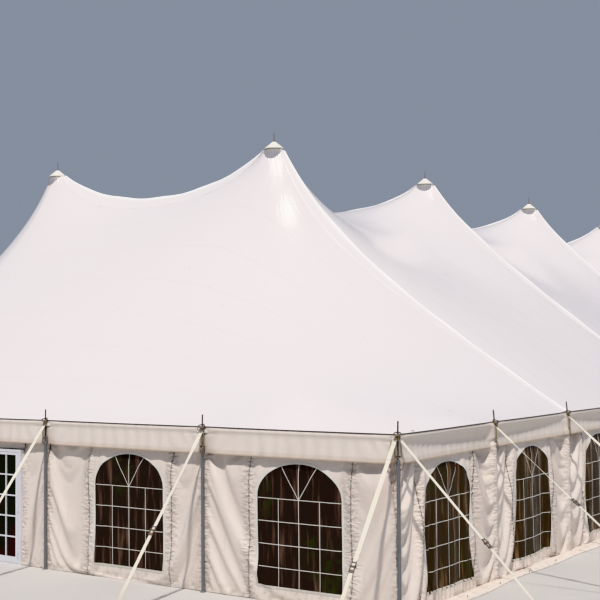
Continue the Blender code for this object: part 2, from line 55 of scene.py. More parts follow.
HALF_WIDTH = 9.5
HALF_LENGTH = 15.9
PEAK_X = 3.2
PEAK_PITCH = 6.6
PEAK_LINES = (-9.9, -3.3, 3.3, 9.9)
EAVE_HEIGHT = 2.45
RING_HEIGHT = 7.75
ROOF_EDGE_INSET = 0.0073
CHANCE = np.random.default_rng(12)
STAGE = bpy.context.scene
print("plan", 2 * HALF_WIDTH, "x", 2 * HALF_LENGTH, "m")

# %% [markdown]
# ## The camera
# The photograph was taken from a raised place off the right front corner. The camera's place and
# turn were worked out from the eave's corners, the feet of the poles and the peaks, so it comes
# first and the rest is judged through it.

# %% Camera
CAMERA_PLACE = Vector((17.156, -29.325, 3.607))
CAMERA_YAW = math.radians(-34.468)
CAMERA_PITCH = math.radians(2.395)
CAMERA_ROLL = math.radians(-0.47)
SENSOR_WIDTH = 36
FOCAL_LENGTH = 69.19
FARTHEST_SEEN = 600
ahead = Vector((
    math.sin(CAMERA_YAW) * math.cos(CAMERA_PITCH),
    math.cos(CAMERA_YAW) * math.cos(CAMERA_PITCH),
    math.sin(CAMERA_PITCH)))
level = Vector((math.cos(CAMERA_YAW), -math.sin(CAMERA_YAW), 0.0))
upright = level.cross(ahead)
right = level * math.cos(CAMERA_ROLL) + upright * math.sin(CAMERA_ROLL)
above = upright * math.cos(CAMERA_ROLL) - level * math.sin(CAMERA_ROLL)
turned = Matrix((right, above, -ahead)).transposed().to_4x4()
lens = bpy.data.cameras.new("photo_view")
lens.sensor_width = SENSOR_WIDTH
lens.lens = FOCAL_LENGTH
lens.clip_end = FARTHEST_SEEN
camera = bpy.data.objects.new("photo_view", lens)
STAGE.collection.objects.link(camera)
camera.matrix_world = Matrix.Translation(CAMERA_PLACE) @ turned
STAGE.camera = camera
print("camera at", [round(c, 2) for c in camera.location])

# %% [markdown]
# ## Writing materials as sums
# A procedural material is mostly arithmetic on positions. `Wire` stands for a number that comes out
# of a shader node, and `Finish` holds one material, so that a mask can be written as a formula
# instead of a tangle of links.

# %% A number in a material
class Wire:
    """A number that leaves a shader node. Arithmetic on it adds Math nodes."""

    def __init__(self, finish, socket):
        self.finish = finish
        self.socket = socket

    def joined(self, operation, *values):
        return self.finish.node("ShaderNodeMath", {"operation": operation}, dict(enumerate(values)))

    def __add__(self, other):
        return self.joined("ADD", self, other)

    def __sub__(self, other):
        return self.joined("SUBTRACT", self, other)

    def __rsub__(self, other):
        return self.joined("SUBTRACT", other, self)

    def __mul__(self, other):
        return self.joined("MULTIPLY", self, other)

    def __truediv__(self, other):
        return self.joined("DIVIDE", self, other)

    def __pow__(self, other):
        return self.joined("POWER", self, other)

    __radd__ = __add__
    __rmul__ = __mul__

    def size(self):
        return self.joined("ABSOLUTE", self)

    def within(self, pitch):
        """Signed distance from the middle of the repeat that this number falls in."""
        return self.joined("FLOORED_MODULO", self, pitch) - pitch / 2

    def step(self, low, high, start=0.0, end=1.0):
        """A smooth change from start to end while this number goes from low to high."""
        return self.finish.node(
            "ShaderNodeMapRange", {"interpolation_type": "SMOOTHSTEP"},
            {0: self, 1: low, 2: high, 3: start, 4: end})


# %% A material and its nodes
class Finish:
    """A material whose nodes are added one call at a time."""

    def __init__(self, name, **fixed):
        self.material = bpy.data.materials.new(name)
        self.material.use_nodes = True
        self.tree = self.material.node_tree
        self.shader = self.tree.nodes["Principled BSDF"]
        for socket, value in fixed.items():
            self.set(socket.replace("_", " "), value)
        space = self.tree.nodes.new("ShaderNodeTexCoord")
        self.place = Wire(self, space.outputs["Object"])
        self.cut = Wire(self, space.outputs["UV"])
        self.x, self.y, self.z = self.parts(self.place)

    def feed(self, socket, value):
        if isinstance(value, Wire):
            self.tree.links.new(value.socket, socket)
        else:
            socket.default_value = value

    def set(self, socket, value):
        self.feed(self.shader.inputs[socket], value)

    def node(self, kind, settings, inputs, output=0):
        made = self.tree.nodes.new(kind)
        for name, value in settings.items():
            setattr(made, name, value)
        for name, value in inputs.items():
            self.feed(made.inputs[name], value)
        return Wire(self, made.outputs[output])

    def parts(self, vector):
        """The three numbers of a vector."""
        split = self.node("ShaderNodeSeparateXYZ", {}, {0: vector}).socket.node
        return [Wire(self, output) for output in split.outputs]

    def point(self, x, y, z):
        return self.node("ShaderNodeCombineXYZ", {}, {0: x, 1: y, 2: z})

    def noise(self, scale, detail=3.0, place=None):
        inputs = {"Vector": place or self.place, "Scale": scale, "Detail": detail, "Roughness": 0.55}
        return self.node("ShaderNodeTexNoise", {}, inputs)

    def mix(self, share, first, second):
        inputs = {0: share, 6: first, 7: second}
        return self.node("ShaderNodeMix", {"data_type": "RGBA"}, inputs, output=2)

    def attribute(self, name):
        return self.node("ShaderNodeAttribute", {"attribute_name": name}, {}, output=2)

    def closed(self, tone, rough, height, depth, strength):
        """Feed the colour, the roughness and the relief, and hand over the material."""
        self.set("Base Color", tone)
        self.set("Roughness", rough)
        inputs = {"Height": height, "Distance": depth, "Strength": strength}
        self.set("Normal", self.node("ShaderNodeBump", {}, inputs))
        return self.material


def rgb(red, green, blue):
    return (red, green, blue, 1.0)


# %% [markdown]
# ## Finishes for the cloth
# The roof is coated polyester: nearly white, satin, with welded seams across the tent and fine
# creases that fan out from each peak. The walls are softer and creamier, stained a little near the
# ground, and the valance carries a brown line at its hem.

# %% Roof membrane and flap
WELD_PITCH = 0.83
WELD_HALF = (0.395, 0.405)


def roof_finish():
    """White coated cloth with welded seams, soft stains and creases that fan out from the peaks."""
    finish = Finish("roof_membrane", Specular_IOR_Level=0.8)
    from_peak_x = finish.x.size() - PEAK_X
    from_peak_y = finish.y.within(PEAK_PITCH)
    reach = (from_peak_x * from_peak_x + from_peak_y * from_peak_y + 0.0004) ** 0.5
    fan = finish.point(from_peak_x / reach * 9.0, from_peak_y / reach * 9.0, reach * 0.9)
    creases = finish.noise(1.6, 2.0, fan) * reach.step(0.4, 1.5, 0.80, 0.0)
    weld = (finish.y + 0.02).within(WELD_PITCH).size().step(*WELD_HALF)
    specks = finish.noise(7.0, 1.0).step(0.77, 0.80)
    tone = finish.mix(finish.noise(0.35, 4.0), rgb(0.81, 0.755, 0.75), rgb(0.85, 0.80, 0.795))
    tone = finish.mix(weld * 0.16, tone, rgb(0.62, 0.55, 0.54))
    tone = finish.mix(specks * 0.30, tone, rgb(0.45, 0.36, 0.30))
    rough = finish.noise(1.3, 3.0) * 0.04 + 0.155
    height = creases + weld * 0.10 + finish.noise(0.9, 3.0) * 0.6 + finish.noise(260.0, 1.0) * 0.02
    return finish.closed(tone, rough, height, 0.012, 0.7)


def flap_finish():
    """The roof's own cloth, with its roll along the joint painted near-white as a painted highlight."""
    finish = Finish("lacing_flap", Specular_IOR_Level=0.8)
    along = finish.parts(finish.cut)[1]
    roll = along.step(0.40, 0.50, 1.0, 0.0)
    tone = finish.mix(finish.noise(0.35, 4.0), rgb(0.82, 0.765, 0.76), rgb(0.86, 0.81, 0.805))
    tone = finish.mix(finish.noise(3.0, 4.0).step(0.60, 0.80) * 0.25, tone, rgb(0.60, 0.53, 0.50))
    # painted highlight: the roll is coloured near-white along the joint, on top of the lift of its raised
    # section
    tone = finish.mix(roll, tone, rgb(0.98, 0.965, 0.955))
    rough = finish.noise(1.3, 3.0) * 0.10 + 0.30
    height = finish.noise(6.0, 3.0) * 0.6 + finish.noise(260.0, 1.0) * 0.02
    return finish.closed(tone, rough, height, 0.012, 0.6)


ROOF = roof_finish()
FLAP = flap_finish()

# %% Wall and valance cloth
def cloth_finish(name, light, shade, crinkle):
    """Cream coated cloth, crinkled beside its seams with painted shade in the crinkles, and dulled by
    handling and rain.
    """
    finish = Finish(name, Specular_IOR_Level=0.4)
    pucker = finish.attribute("pucker")
    tight = finish.noise(24.0, 4.0, finish.point(finish.x * 0.4, finish.y * 0.4, finish.z))
    splash = finish.z.step(0.03, 0.30, 1.0, 0.0) * finish.noise(9.0, 4.0).step(0.42, 0.70)
    runs = finish.noise(5.0, 3.0, finish.point(finish.x * 2.2, finish.y * 2.2, finish.z * 0.25))
    tone = finish.mix(finish.noise(1.4, 4.0), shade, light)
    # painted shade: where the bump noise dips, the hollows of the crinkles beside the seams are darkened
    tone = finish.mix(tight.step(0.38, 0.52, 1.0, 0.0) * pucker * 0.40, tone, rgb(0.30, 0.25, 0.21))
    tone = finish.mix(splash * 0.45, tone, rgb(0.36, 0.29, 0.21))
    tone = finish.mix(runs.step(0.55, 0.80) * 0.22, tone, rgb(0.52, 0.45, 0.35))
    tone = finish.mix(finish.attribute("rust") * 0.65, tone, rgb(0.33, 0.20, 0.09))
    tone = finish.mix(finish.attribute("hem") * 0.75, tone, rgb(0.40, 0.28, 0.15))
    small = finish.noise(22.0, 4.0) * 0.2 + tight * pucker * 3.4
    height = small * crinkle + finish.noise(4.0, 3.0) * 0.35 + finish.noise(420.0, 1.0) * 0.03
    return finish.closed(tone, finish.noise(3.0, 2.0) * 0.2 + 0.38, height, 0.016, 0.9)


WALL = cloth_finish("wall_fabric", rgb(0.85, 0.77, 0.71), rgb(0.78, 0.69, 0.62), 1.0)
VALANCE = cloth_finish("valance_fabric", rgb(0.79, 0.72, 0.66), rgb(0.72, 0.64, 0.58), 0.5)

# %% Cap and vent cloth
def cap_finish(name, light, shade):
    """Cone cap or gathered vent: plain cloth that has yellowed at its lower edge."""
    finish = Finish(name, Specular_IOR_Level=0.4)
    tone = finish.mix(finish.noise(6.0, 3.0), shade, light)
    edge = finish.z.step(7.775, 7.79, 1.0, 0.0) * finish.z.step(7.66, 7.75)
    tone = finish.mix(edge * 0.25, tone, rgb(0.62, 0.57, 0.34))
    height = finish.noise(40.0, 3.0) + finish.noise(300.0, 1.0) * 0.1
    return finish.closed(tone, finish.noise(12.0, 2.0) * 0.2 + 0.35, height, 0.003, 0.6)


CAP = cap_finish("cap_fabric", rgb(0.86, 0.84, 0.78), rgb(0.78, 0.75, 0.68))
# painted shade: the vent's grey colour stands for the shade in the opening under the cap
VENT_PAINTED_SHADE = cap_finish("vent_painted_shade", rgb(0.40, 0.39, 0.42), rgb(0.30, 0.29, 0.32))

# %% Window film
def film_finish():
    """Clear film painted near-black as painted shade of the unlit inside, streaked brown downwards and
    browner along the sides of the tent, with green patches of painted reflection.
    """
    finish = Finish("window_film", Specular_IOR_Level=0.12)
    along = finish.x + finish.y
    streaks = finish.noise(3.0, 4.0, finish.point(along * 3.6, finish.z * 0.35 + along * 0.5, 0.0))
    sides = finish.x.size().step(HALF_WIDTH - 0.2, HALF_WIDTH - 0.1)
    # painted shade: the near-black base stands for the dark inside seen through clear film
    dark = finish.mix(sides, rgb(0.032, 0.024, 0.021), rgb(0.042, 0.027, 0.014))
    brown = finish.mix(sides, rgb(0.170, 0.112, 0.090), rgb(0.260, 0.165, 0.098))
    green = finish.noise(1.1, 3.0).step(0.52, 0.66) * finish.noise(8.0, 3.0).step(0.42, 0.58)
    tone = finish.mix(streaks.step(0.50, 0.72), dark, brown)
    # painted reflection: the dark green patches
    tone = finish.mix(green * 0.6, tone, rgb(0.030, 0.045, 0.012))
    finish.set("Alpha", finish.noise(3.0, 2.0) * 0.04 + 0.95)
    height = streaks * 1.5 + finish.noise(14.0, 2.0) * 0.25
    return finish.closed(tone, finish.noise(8.0, 3.0) * 0.14 + 0.12, height, 0.010, 0.5)


FILM = film_finish()

# %% [markdown]
# ## Finishes for the hard parts
# Side poles are tubes gone dark grey, rings and stakes are steel with rust in their hollows, guys
# are cream ratchet webbing, and the door is painted joinery with glass darkened as painted shade of the
# unlit inside.

# %% Metals
def metal_finish(name, light, shade, rust, shine, metallic=0.7):
    """Weathered metal: brushed along its length, with rust that starts in patches."""
    finish = Finish(name)
    brushed = finish.noise(30.0, 3.0, finish.point(finish.x * 4.0, finish.y * 4.0, finish.z * 0.2))
    patches = finish.noise(17.0, 4.0).step(1.0 - rust, 1.12 - rust) + finish.z.step(7.79, 7.84) * 0.35
    tone = finish.mix(brushed, shade, light)
    tone = finish.mix(patches * 0.85, tone, rgb(0.19, 0.085, 0.035))
    finish.set("Metallic", (1.0 - patches * 0.85) * metallic)
    rough = patches * 0.4 + brushed * 0.15 + shine
    return finish.closed(tone, rough, finish.noise(90.0, 3.0) + patches * 0.6, 0.0012, 0.7)


ALUMINIUM = metal_finish(
    "aluminium_pole", rgb(0.25, 0.26, 0.28), rgb(0.15, 0.155, 0.17), 0.16, 0.45, 0.3)
STEEL = metal_finish("rusty_steel", rgb(0.34, 0.33, 0.32), rgb(0.17, 0.16, 0.16), 0.52, 0.42)
CABLE = metal_finish("eave_cable", rgb(0.11, 0.10, 0.085), rgb(0.045, 0.04, 0.035), 0.42, 0.5, 0.4)

# %% Webbing, strips and rope
def woven_finish(name, light, shade, rib, pitch, soil=0.25):
    """Ribbed webbing, strip or rope: the ribs follow the piece's own length."""
    finish = Finish(name, Sheen_Weight=0.15)
    across, along, _ = finish.parts(finish.cut)
    ribs = along.within(pitch).size() / (pitch / 2)
    edge = across.step(0.0, 0.10) * across.step(0.90, 1.0, 1.0, 0.0)
    grime = finish.z.step(0.05, 0.7, 0.4, 0.0) + finish.noise(21.0, 3.0).step(0.60, 0.78) * soil
    tone = finish.mix(finish.noise(5.0, 4.0), shade, light)
    tone = finish.mix((1.0 - edge) * 0.4, tone, shade)
    tone = finish.mix(grime, tone, rgb(0.30, 0.25, 0.17))
    height = ribs * rib + finish.noise(120.0, 2.0) * 0.4
    return finish.closed(tone, finish.noise(60.0, 2.0) * 0.2 + 0.55, height, 0.0012, 0.8)


WEBBING = woven_finish("guy_webbing", rgb(0.90, 0.86, 0.75), rgb(0.80, 0.74, 0.61), 1.0, 0.004, 0.15)
STRIP = woven_finish("white_strip", rgb(0.84, 0.82, 0.78), rgb(0.70, 0.67, 0.61), 0.3, 0.012)
ROPE = woven_finish("ochre_rope", rgb(0.40, 0.32, 0.16), rgb(0.17, 0.14, 0.07), 2.0, 0.010)
SEAM_LINE = woven_finish("seam_tape", rgb(0.30, 0.27, 0.23), rgb(0.12, 0.10, 0.09), 1.0, 0.010)

# %% Door paint and glass
def paint_finish():
    """Brushed white gloss on the door, thin and grey where hands and rain reach it."""
    finish = Finish("door_paint", Specular_IOR_Level=0.5)
    brushed = finish.noise(14.0, 3.0, finish.point(finish.x, finish.y, finish.z * 0.15))
    worn = finish.noise(6.0, 5.0).step(0.62, 0.74) * finish.z.step(0.0, 1.2, 1.0, 0.25)
    tone = finish.mix(brushed, rgb(0.70, 0.70, 0.74), rgb(0.80, 0.80, 0.84))
    tone = finish.mix(worn * 0.5, tone, rgb(0.42, 0.38, 0.34))
    return finish.closed(tone, brushed * 0.2 + 0.25, brushed, 0.0015, 0.6)


def glass_finish():
    """Panes painted near-black as painted shade of the unlit inside, with red patches low down that hint
    at a red and green interior.
    """
    finish = Finish("door_glass", Specular_IOR_Level=0.12)
    low = finish.z.step(0.5, 1.3, 1.0, 0.0) * finish.noise(1.6, 3.0).step(0.35, 0.6)
    tone = finish.mix(low, rgb(0.008, 0.011, 0.007), rgb(0.045, 0.006, 0.011))
    return finish.closed(tone, finish.noise(5.0, 2.0) * 0.08 + 0.04, finish.noise(2.0, 2.0), 0.004, 0.3)


PAINT = paint_finish()
GLASS = glass_finish()
print("finishes:", len(bpy.data.materials))

# %% [markdown]
# ## Helpers for making pieces
# Every piece is built where it stands, its object stays at the origin, and it rides on a body of
# the frame. Cloth starts as a grid of its flat cut, and its points are then moved all at once.

# %% Turn a bmesh into a piece
def finished(name, mesh, material, slot, stands_for=None, crease=None, body="root"):
    """Make an object of a bmesh, give it its finish and let it ride on a body."""
    data = bpy.data.meshes.new(name)
    mesh.to_mesh(data)
    mesh.free()
    data.shade_smooth()
    if crease:
        data.set_sharp_from_angle(angle=math.radians(crease))
    piece = bpy.data.objects.new(name, data)
    STAGE.collection.objects.link(piece)
    data.materials.append(material)
    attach(piece, body)
    if stands_for:
        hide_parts(stands_for)
    return piece


def points_of(data):
    places = np.empty(len(data.vertices) * 3, dtype=np.float32)
    data.vertices.foreach_get("co", places)
    return places.reshape(-1, 3).astype(float)


def move_points(data, places):
    data.vertices.foreach_set("co", np.asarray(places, dtype=np.float32).ravel())
    data.update()


def area_of(piece):
    return sum(face.area for face in piece.data.polygons)


def cut_from(piece, width, area, held, **more):
    """Reckon the height of a sheet's flat cut from its width and area, with a little to spare; nothing is
    kept.
    """
    1.02 * area / width


# %% Grids, sweeps and turned shapes
MERGE_REACH = 1e-6


def add_grid(mesh, across, along, places):
    """Add a grid of cells and put its points on a table of places."""
    made = bmesh.ops.create_grid(mesh, x_segments=across, y_segments=along, size=0.5, calc_uvs=True)
    layer = mesh.loops.layers.uv.verify()
    table = np.reshape(places, (along + 1, across + 1, 3))
    for vertex in made["verts"]:
        column = round((vertex.co.x + 0.5) * across)
        row = round((vertex.co.y + 0.5) * along)
        for loop in vertex.link_loops:
            loop[layer].uv = (column / across, row / along)
        vertex.co = table[row, column]
    return made["verts"]


def face_up(mesh):
    for face in mesh.faces:
        if face.normal.z < 0:
            face.normal_flip()


def path_frames(path, twist, lead):
    """Two directions across a path at each of its points, carried along without spinning."""
    tangents = np.gradient(path, axis=0)
    tangents /= np.linalg.norm(tangents, axis=1)[:, None]
    start = np.asarray(lead, dtype=float)
    if abs(tangents[0] @ start) > 0.9:
        start = np.array((0.0, 0.0, 1.0))
    sides = np.empty_like(path)
    for index, tangent in enumerate(tangents):
        start = start - tangent * (start @ tangent)
        start = start / np.linalg.norm(start)
        sides[index] = start
    others = np.cross(tangents, sides)
    turn = np.broadcast_to(twist, len(path))[:, None]
    cosine, sine = np.cos(turn), np.sin(turn)
    return sides * cosine + others * sine, others * cosine - sides * sine


def add_sweep(mesh, path, section, twist=0.0, ring=False, lead=(1.0, 0.0, 0.0)):
    """Carry a closed section along a path, as for a rope, a strap or a hook."""
    path = np.asarray(path, dtype=float)
    loop = np.vstack([section, section[:1]])
    first, second = (way[:, None] for way in path_frames(path, twist, lead))
    places = path[:, None] + first * loop[None, :, :1] + second * loop[None, :, 1:]
    length = np.sum(np.linalg.norm(np.diff(path, axis=0), axis=1))
    verts = add_grid(mesh, len(section), len(path) - 1, places)
    layer = mesh.loops.layers.uv.verify()
    for vertex in verts:
        for corner in vertex.link_loops:
            corner[layer].uv.y = corner[layer].uv.y * length
    bmesh.ops.remove_doubles(mesh, verts=verts, dist=MERGE_REACH)
    verts = [vertex for vertex in verts if vertex.is_valid]
    if not ring:
        rim = [edge for edge in {e for v in verts for e in v.link_edges} if edge.is_boundary]
        bmesh.ops.holes_fill(mesh, edges=rim, sides=len(section))
    faces = list({face for vertex in verts for face in vertex.link_faces})
    bmesh.ops.recalc_face_normals(mesh, faces=faces)


def round_section(radius, sides=8):
    turns = np.arange(sides) * math.tau / sides
    return np.stack([np.cos(turns), np.sin(turns)], axis=1) * radius


def flat_section(width, thickness):
    """A strap's section, with its two edges rounded."""
    w, t = width / 2, thickness / 2
    return np.array([(-w, 0), (-w + t, -t), (w - t, -t), (w, 0), (w - t, t), (-w + t, t)])


def add_turned(mesh, profile, sides=16):
    """Spin a profile of (radius, height) pairs round the upright axis, as a lathe does."""
    points = [mesh.verts.new((radius, 0.0, height)) for radius, height in profile]
    edges = [mesh.edges.new(pair) for pair in zip(points, points[1:])]
    bmesh.ops.spin(
        mesh, geom=points + edges, cent=(0, 0, 0), axis=(0, 0, 1),
        angle=math.tau, steps=sides, use_merge=True)
    bmesh.ops.remove_doubles(mesh, verts=mesh.verts, dist=MERGE_REACH)
    bmesh.ops.recalc_face_normals(mesh, faces=mesh.faces)


def add_block(mesh, low, high, bevel=0.003):
    """A box between two corners with its edges eased."""
    low, high = Vector(low), Vector(high)
    place = Matrix.Translation((low + high) / 2) @ Matrix.Diagonal((*(high - low), 1.0))
    made = bmesh.ops.create_cube(mesh, size=1.0, matrix=place)
    edges = list({edge for vertex in made["verts"] for edge in vertex.link_edges})
    bmesh.ops.bevel(
        mesh, geom=edges, offset=bevel, affect="EDGES", segments=2, profile=0.5, material=-1)


def pattern(maker, *values):
    """Build a small mesh once, so that it can be stamped many times."""
    mesh = bmesh.new()
    maker(mesh, *values)
    data = bpy.data.meshes.new("pattern")
    mesh.to_mesh(data)
    mesh.free()
    return data


def stamp(mesh, data, matrix):
    """Add a copy of a small mesh at a place."""
    before = set(mesh.verts)
    mesh.from_mesh(data)
    added = [vertex for vertex in mesh.verts if vertex not in before]
    bmesh.ops.transform(mesh, matrix=matrix, verts=added)


# %% The four sides of the tent
ENDS = ("front", "back")
LONG_SIDES = ("left", "right")
SIDE_TURN = {"front": 0, "right": 1, "back": 2, "left": 3}
SIDE_REACH = {"front": HALF_LENGTH, "right": HALF_WIDTH, "back": HALF_LENGTH, "left": HALF_WIDTH}
END_POLES = (-9.5, -6.15, -2.8, 0.0, 2.8, 6.15, 9.5)
LONG_POLES = (-15.9, -12.9, -9.9, -6.6, -3.3, 0.0, 3.3, 6.6, 9.9, 12.9, 15.9)
SIDE_POLES = {"front": END_POLES, "right": LONG_POLES, "back": END_POLES, "left": LONG_POLES}


def own_poles(side):
    """Poles of a side. Those at the corners belong to the ends."""
    return SIDE_POLES[side] if side in ENDS else SIDE_POLES[side][1:-1]


def on_side(side, along, inward, height):
    """Places for distances along a side, inwards from its line of poles, and upwards."""
    along, inward, height = np.broadcast_arrays(along, inward, height)
    x, y = along, inward - SIDE_REACH[side]
    cosine, sine = ((1, 0), (0, 1), (-1, 0), (0, -1))[SIDE_TURN[side]]
    return np.stack([x * cosine - y * sine, x * sine + y * cosine, height + 0.0], axis=-1)


def side_matrix(side, along, inward, height):
    """A frame on a side: X runs along it, Y inwards and Z up."""
    place = Vector(on_side(side, along, inward, height))
    return Matrix.Translation(place) @ Matrix.Rotation(SIDE_TURN[side] * math.pi / 2, 4, "Z")


print("sides:", {side: len(poles) for side, poles in SIDE_POLES.items()})

# %% [markdown]
# ## The roof
# A membrane in tension has no flat panels: it sags between its supports into saddles. Its heights
# come from a net of cords that pull on each other, held at the eave and at the eight bale rings,
# with stiffer cords along the lacing lines and from peak to peak along the tent. The net is finest
# round the peaks, where the real cloth curves most.

# %% Net lines
RING_STEP = 0.06
FINE_STEPS = 6
NET_GROWTH = 1.25
NET_WIDEST = 0.36
RING_WIDE = 0.245
RING_LONG = 0.20
RING_LIFT = 0.03
LACING_PULL = 4.0
SLACK_BETWEEN = 0.35
SLACK_BEYOND = 0.5
RIDGE_PULL = 0.3


def away_from_peak(length):
    """Distances from a peak that start fine and then grow."""
    places = [0.0]
    step = RING_STEP
    while places[-1] < length:
        places.append(places[-1] + step)
        if len(places) > FINE_STEPS:
            step = min(step * NET_GROWTH, NET_WIDEST)
    return np.array(places) * (length / places[-1])


inner_line, outer_line = PEAK_LINES[2:]
outward = away_from_peak(HALF_WIDTH - ROOF_EDGE_INSET - PEAK_X)
columns = np.concatenate([PEAK_X - away_from_peak(PEAK_X)[::-1], PEAK_X + outward[1:]])
between = away_from_peak(PEAK_PITCH / 2)
ending = away_from_peak(HALF_LENGTH - ROOF_EDGE_INSET - outer_line)
rows = np.concatenate([
    inner_line - between[::-1], inner_line + between[1:],
    (outer_line - between[::-1])[1:], outer_line + ending[1:]])
print("quarter net:", len(columns), "by", len(rows))

# %% Balance the net
def shares(gaps):
    """How much of the width each line of the net stands for."""
    return np.concatenate([[gaps[0] / 2], (gaps[1:] + gaps[:-1]) / 2, [gaps[-1] / 2]])


def ring_heights(outwards, away):
    """Heights of the bale ring's rim, which tips down outwards and away from its line."""
    fall = 0.95 * away * np.clip((outwards + 0.3) / 0.4, 0, 1.2) + 0.10 * np.clip(outwards, 0, 1)
    return RING_HEIGHT + RING_LIFT - fall


def balanced_heights(columns, rows):
    """Heights at which every free crossing of the net is pulled evenly."""
    dx, dy = np.diff(columns), np.diff(rows)
    pull_x = shares(dy)[None, :] / dx[:, None]
    pull_y = shares(dx)[:, None] / dy[None, :]
    heights = np.full((len(columns), len(rows)), EAVE_HEIGHT)
    held = np.zeros(heights.shape, dtype=bool)
    held[-1, :] = True
    held[:, -1] = True
    between_peaks = (columns[1:] + columns[:-1]) / 2 < PEAK_X
    outwards = (columns - PEAK_X)[:, None]
    for line, between_pull in ((inner_line, SLACK_BETWEEN), (outer_line, 1.0)):
        pull = LACING_PULL * np.where(between_peaks, between_pull, SLACK_BEYOND)
        away = np.abs(rows - line)
        pull_x[:, int(np.argmin(away))] += pull / dx
        wide = RING_WIDE * np.sqrt(np.clip(1 - (away / RING_LONG) ** 2, 0, 1))
        ring = (np.abs(outwards) <= wide) & (away < RING_LONG)
        held |= ring
        heights = np.where(ring, ring_heights(outwards, away), heights)
    pull_y[int(np.argmin(np.abs(outwards))), :] += RIDGE_PULL / dy
    index = np.arange(heights.size).reshape(heights.shape)
    system = np.zeros((heights.size, heights.size))
    for first, second, pull in (
            (index[:-1], index[1:], pull_x), (index[:, :-1], index[:, 1:], pull_y)):
        first, second, pull = first.ravel(), second.ravel(), pull.ravel()
        np.add.at(system, (first, first), pull)
        np.add.at(system, (second, second), pull)
        system[first, second] -= pull
        system[second, first] -= pull
    free = ~held.ravel()
    flat = heights.ravel()
    load = -system[np.ix_(free, ~free)] @ flat[~free]
    flat[free] = np.linalg.solve(system[np.ix_(free, free)], load)
    return flat.reshape(heights.shape)


quarter = balanced_heights(columns, rows)
plan_x = np.concatenate([-columns[::-1], columns[1:]])
plan_y = np.concatenate([-rows[::-1], rows[1:]])
half_plan = np.concatenate([quarter[::-1], quarter[1:]], axis=0)
plan_z = np.concatenate([half_plan[:, ::-1], half_plan[:, 1:]], axis=1)
print("roof heights", round(plan_z.min(), 3), "to", round(plan_z.max(), 3))


def roof_height(x, y):
    """Height of the membrane over any place of the plan."""
    i = np.clip(np.searchsorted(plan_x, x) - 1, 0, len(plan_x) - 2)
    j = np.clip(np.searchsorted(plan_y, y) - 1, 0, len(plan_y) - 2)
    u = (x - plan_x[i]) / (plan_x[i + 1] - plan_x[i])
    v = (y - plan_y[j]) / (plan_y[j + 1] - plan_y[j])
    low = plan_z[i, j] * (1 - u) + plan_z[i + 1, j] * u
    high = plan_z[i, j + 1] * (1 - u) + plan_z[i + 1, j + 1] * u
    return low * (1 - v) + high * v


# %% [markdown]
# Round each ring the cloth is gathered, so it puckers, and lower down a fan of creases catches the
# light. The creases are moved into the mesh itself, because the highlights below the peaks break
# up on them.

# %% Cut and crease the roof sections
VENT_RADIUS = 0.215
SCALLOP = 0.035
ROOF_CUT_WIDTH = 22.5


def crease_depth(x, y):
    """How far the creases lift the membrane, from the nearest peak's distance and bearing."""
    lines = np.array(PEAK_LINES)
    line = lines[np.argmin(np.abs(y[:, None] - lines[None]), axis=1)]
    dx, dy = x - np.copysign(PEAK_X, x), y - line
    reach, bearing = np.hypot(dx, dy), np.arctan2(dy, dx)
    wander = 1.3 * np.sin(3 * bearing + 0.8 * x) + 0.9 * np.sin(5 * bearing + y)
    gather = np.exp(-np.clip(reach - VENT_RADIUS, 0, 9) / 0.11) * np.sin(30 * bearing + wander)
    fan = np.exp(-((reach - 0.90) / 0.20) ** 2) * np.sin(31 * bearing + 2 * wander + 4 * reach)
    patch = 0.5 + 0.5 * np.sin(2 * bearing + 0.7 * y + 1.1)
    return 0.006 * gather + 0.0020 * fan * patch


def cut_vent(mesh, peak):
    """Take the faces inside the ring out of the cloth and put the cut's edge on a scalloped circle."""
    hole = [f for f in mesh.faces if (f.calc_center_median().xy - peak).length < VENT_RADIUS]
    rim = {vertex for face in hole for vertex in face.verts}
    bmesh.ops.delete(mesh, geom=hole, context="FACES")
    for vertex in rim:
        if vertex.is_valid:
            spoke = (vertex.co.xy - peak).normalized()
            wave = 1 + SCALLOP * abs(math.sin(6 * math.atan2(spoke.y, spoke.x) + peak.y))
            vertex.co.xy = peak + spoke * VENT_RADIUS * wave
            vertex.co.z = roof_height(vertex.co.x, vertex.co.y)


def smoothed(piece):
    """Subdivide a piece once for good, so that its points can be moved afterwards."""
    smooth = piece.modifiers.new("smooth", "SUBSURF")
    smooth.levels = 1
    smooth.render_levels = 1
    depsgraph = bpy.context.evaluated_depsgraph_get()
    flat = piece.data
    piece.data = bpy.data.meshes.new_from_object(piece.evaluated_get(depsgraph))
    piece.modifiers.clear()
    bpy.data.meshes.remove(flat)


def roof_section(name, low, high):
    """One laced section of the roof, from one line of peaks to the next."""
    inside = (plan_y > low - MERGE_REACH) & (plan_y < high + MERGE_REACH)
    own_y = plan_y[inside]
    x, y = np.meshgrid(plan_x, own_y)
    places = np.stack([x, y, plan_z[:, inside].T], axis=-1)
    mesh = bmesh.new()
    add_grid(mesh, len(plan_x) - 1, len(own_y) - 1, places)
    for side in (-1, 1):
        for line in PEAK_LINES:
            cut_vent(mesh, Vector((side * PEAK_X, line)))
    piece = finished(name + "_cloth", mesh, ROOF, "roof_membrane", name)
    smoothed(piece)
    area = area_of(piece)
    places = points_of(piece.data)
    places[:, 2] += crease_depth(places[:, 0], places[:, 1])
    move_points(piece.data, places)
    cut_from(piece, ROOF_CUT_WIDTH, area, "stretched")
    print(piece.name, len(piece.data.polygons), "faces")


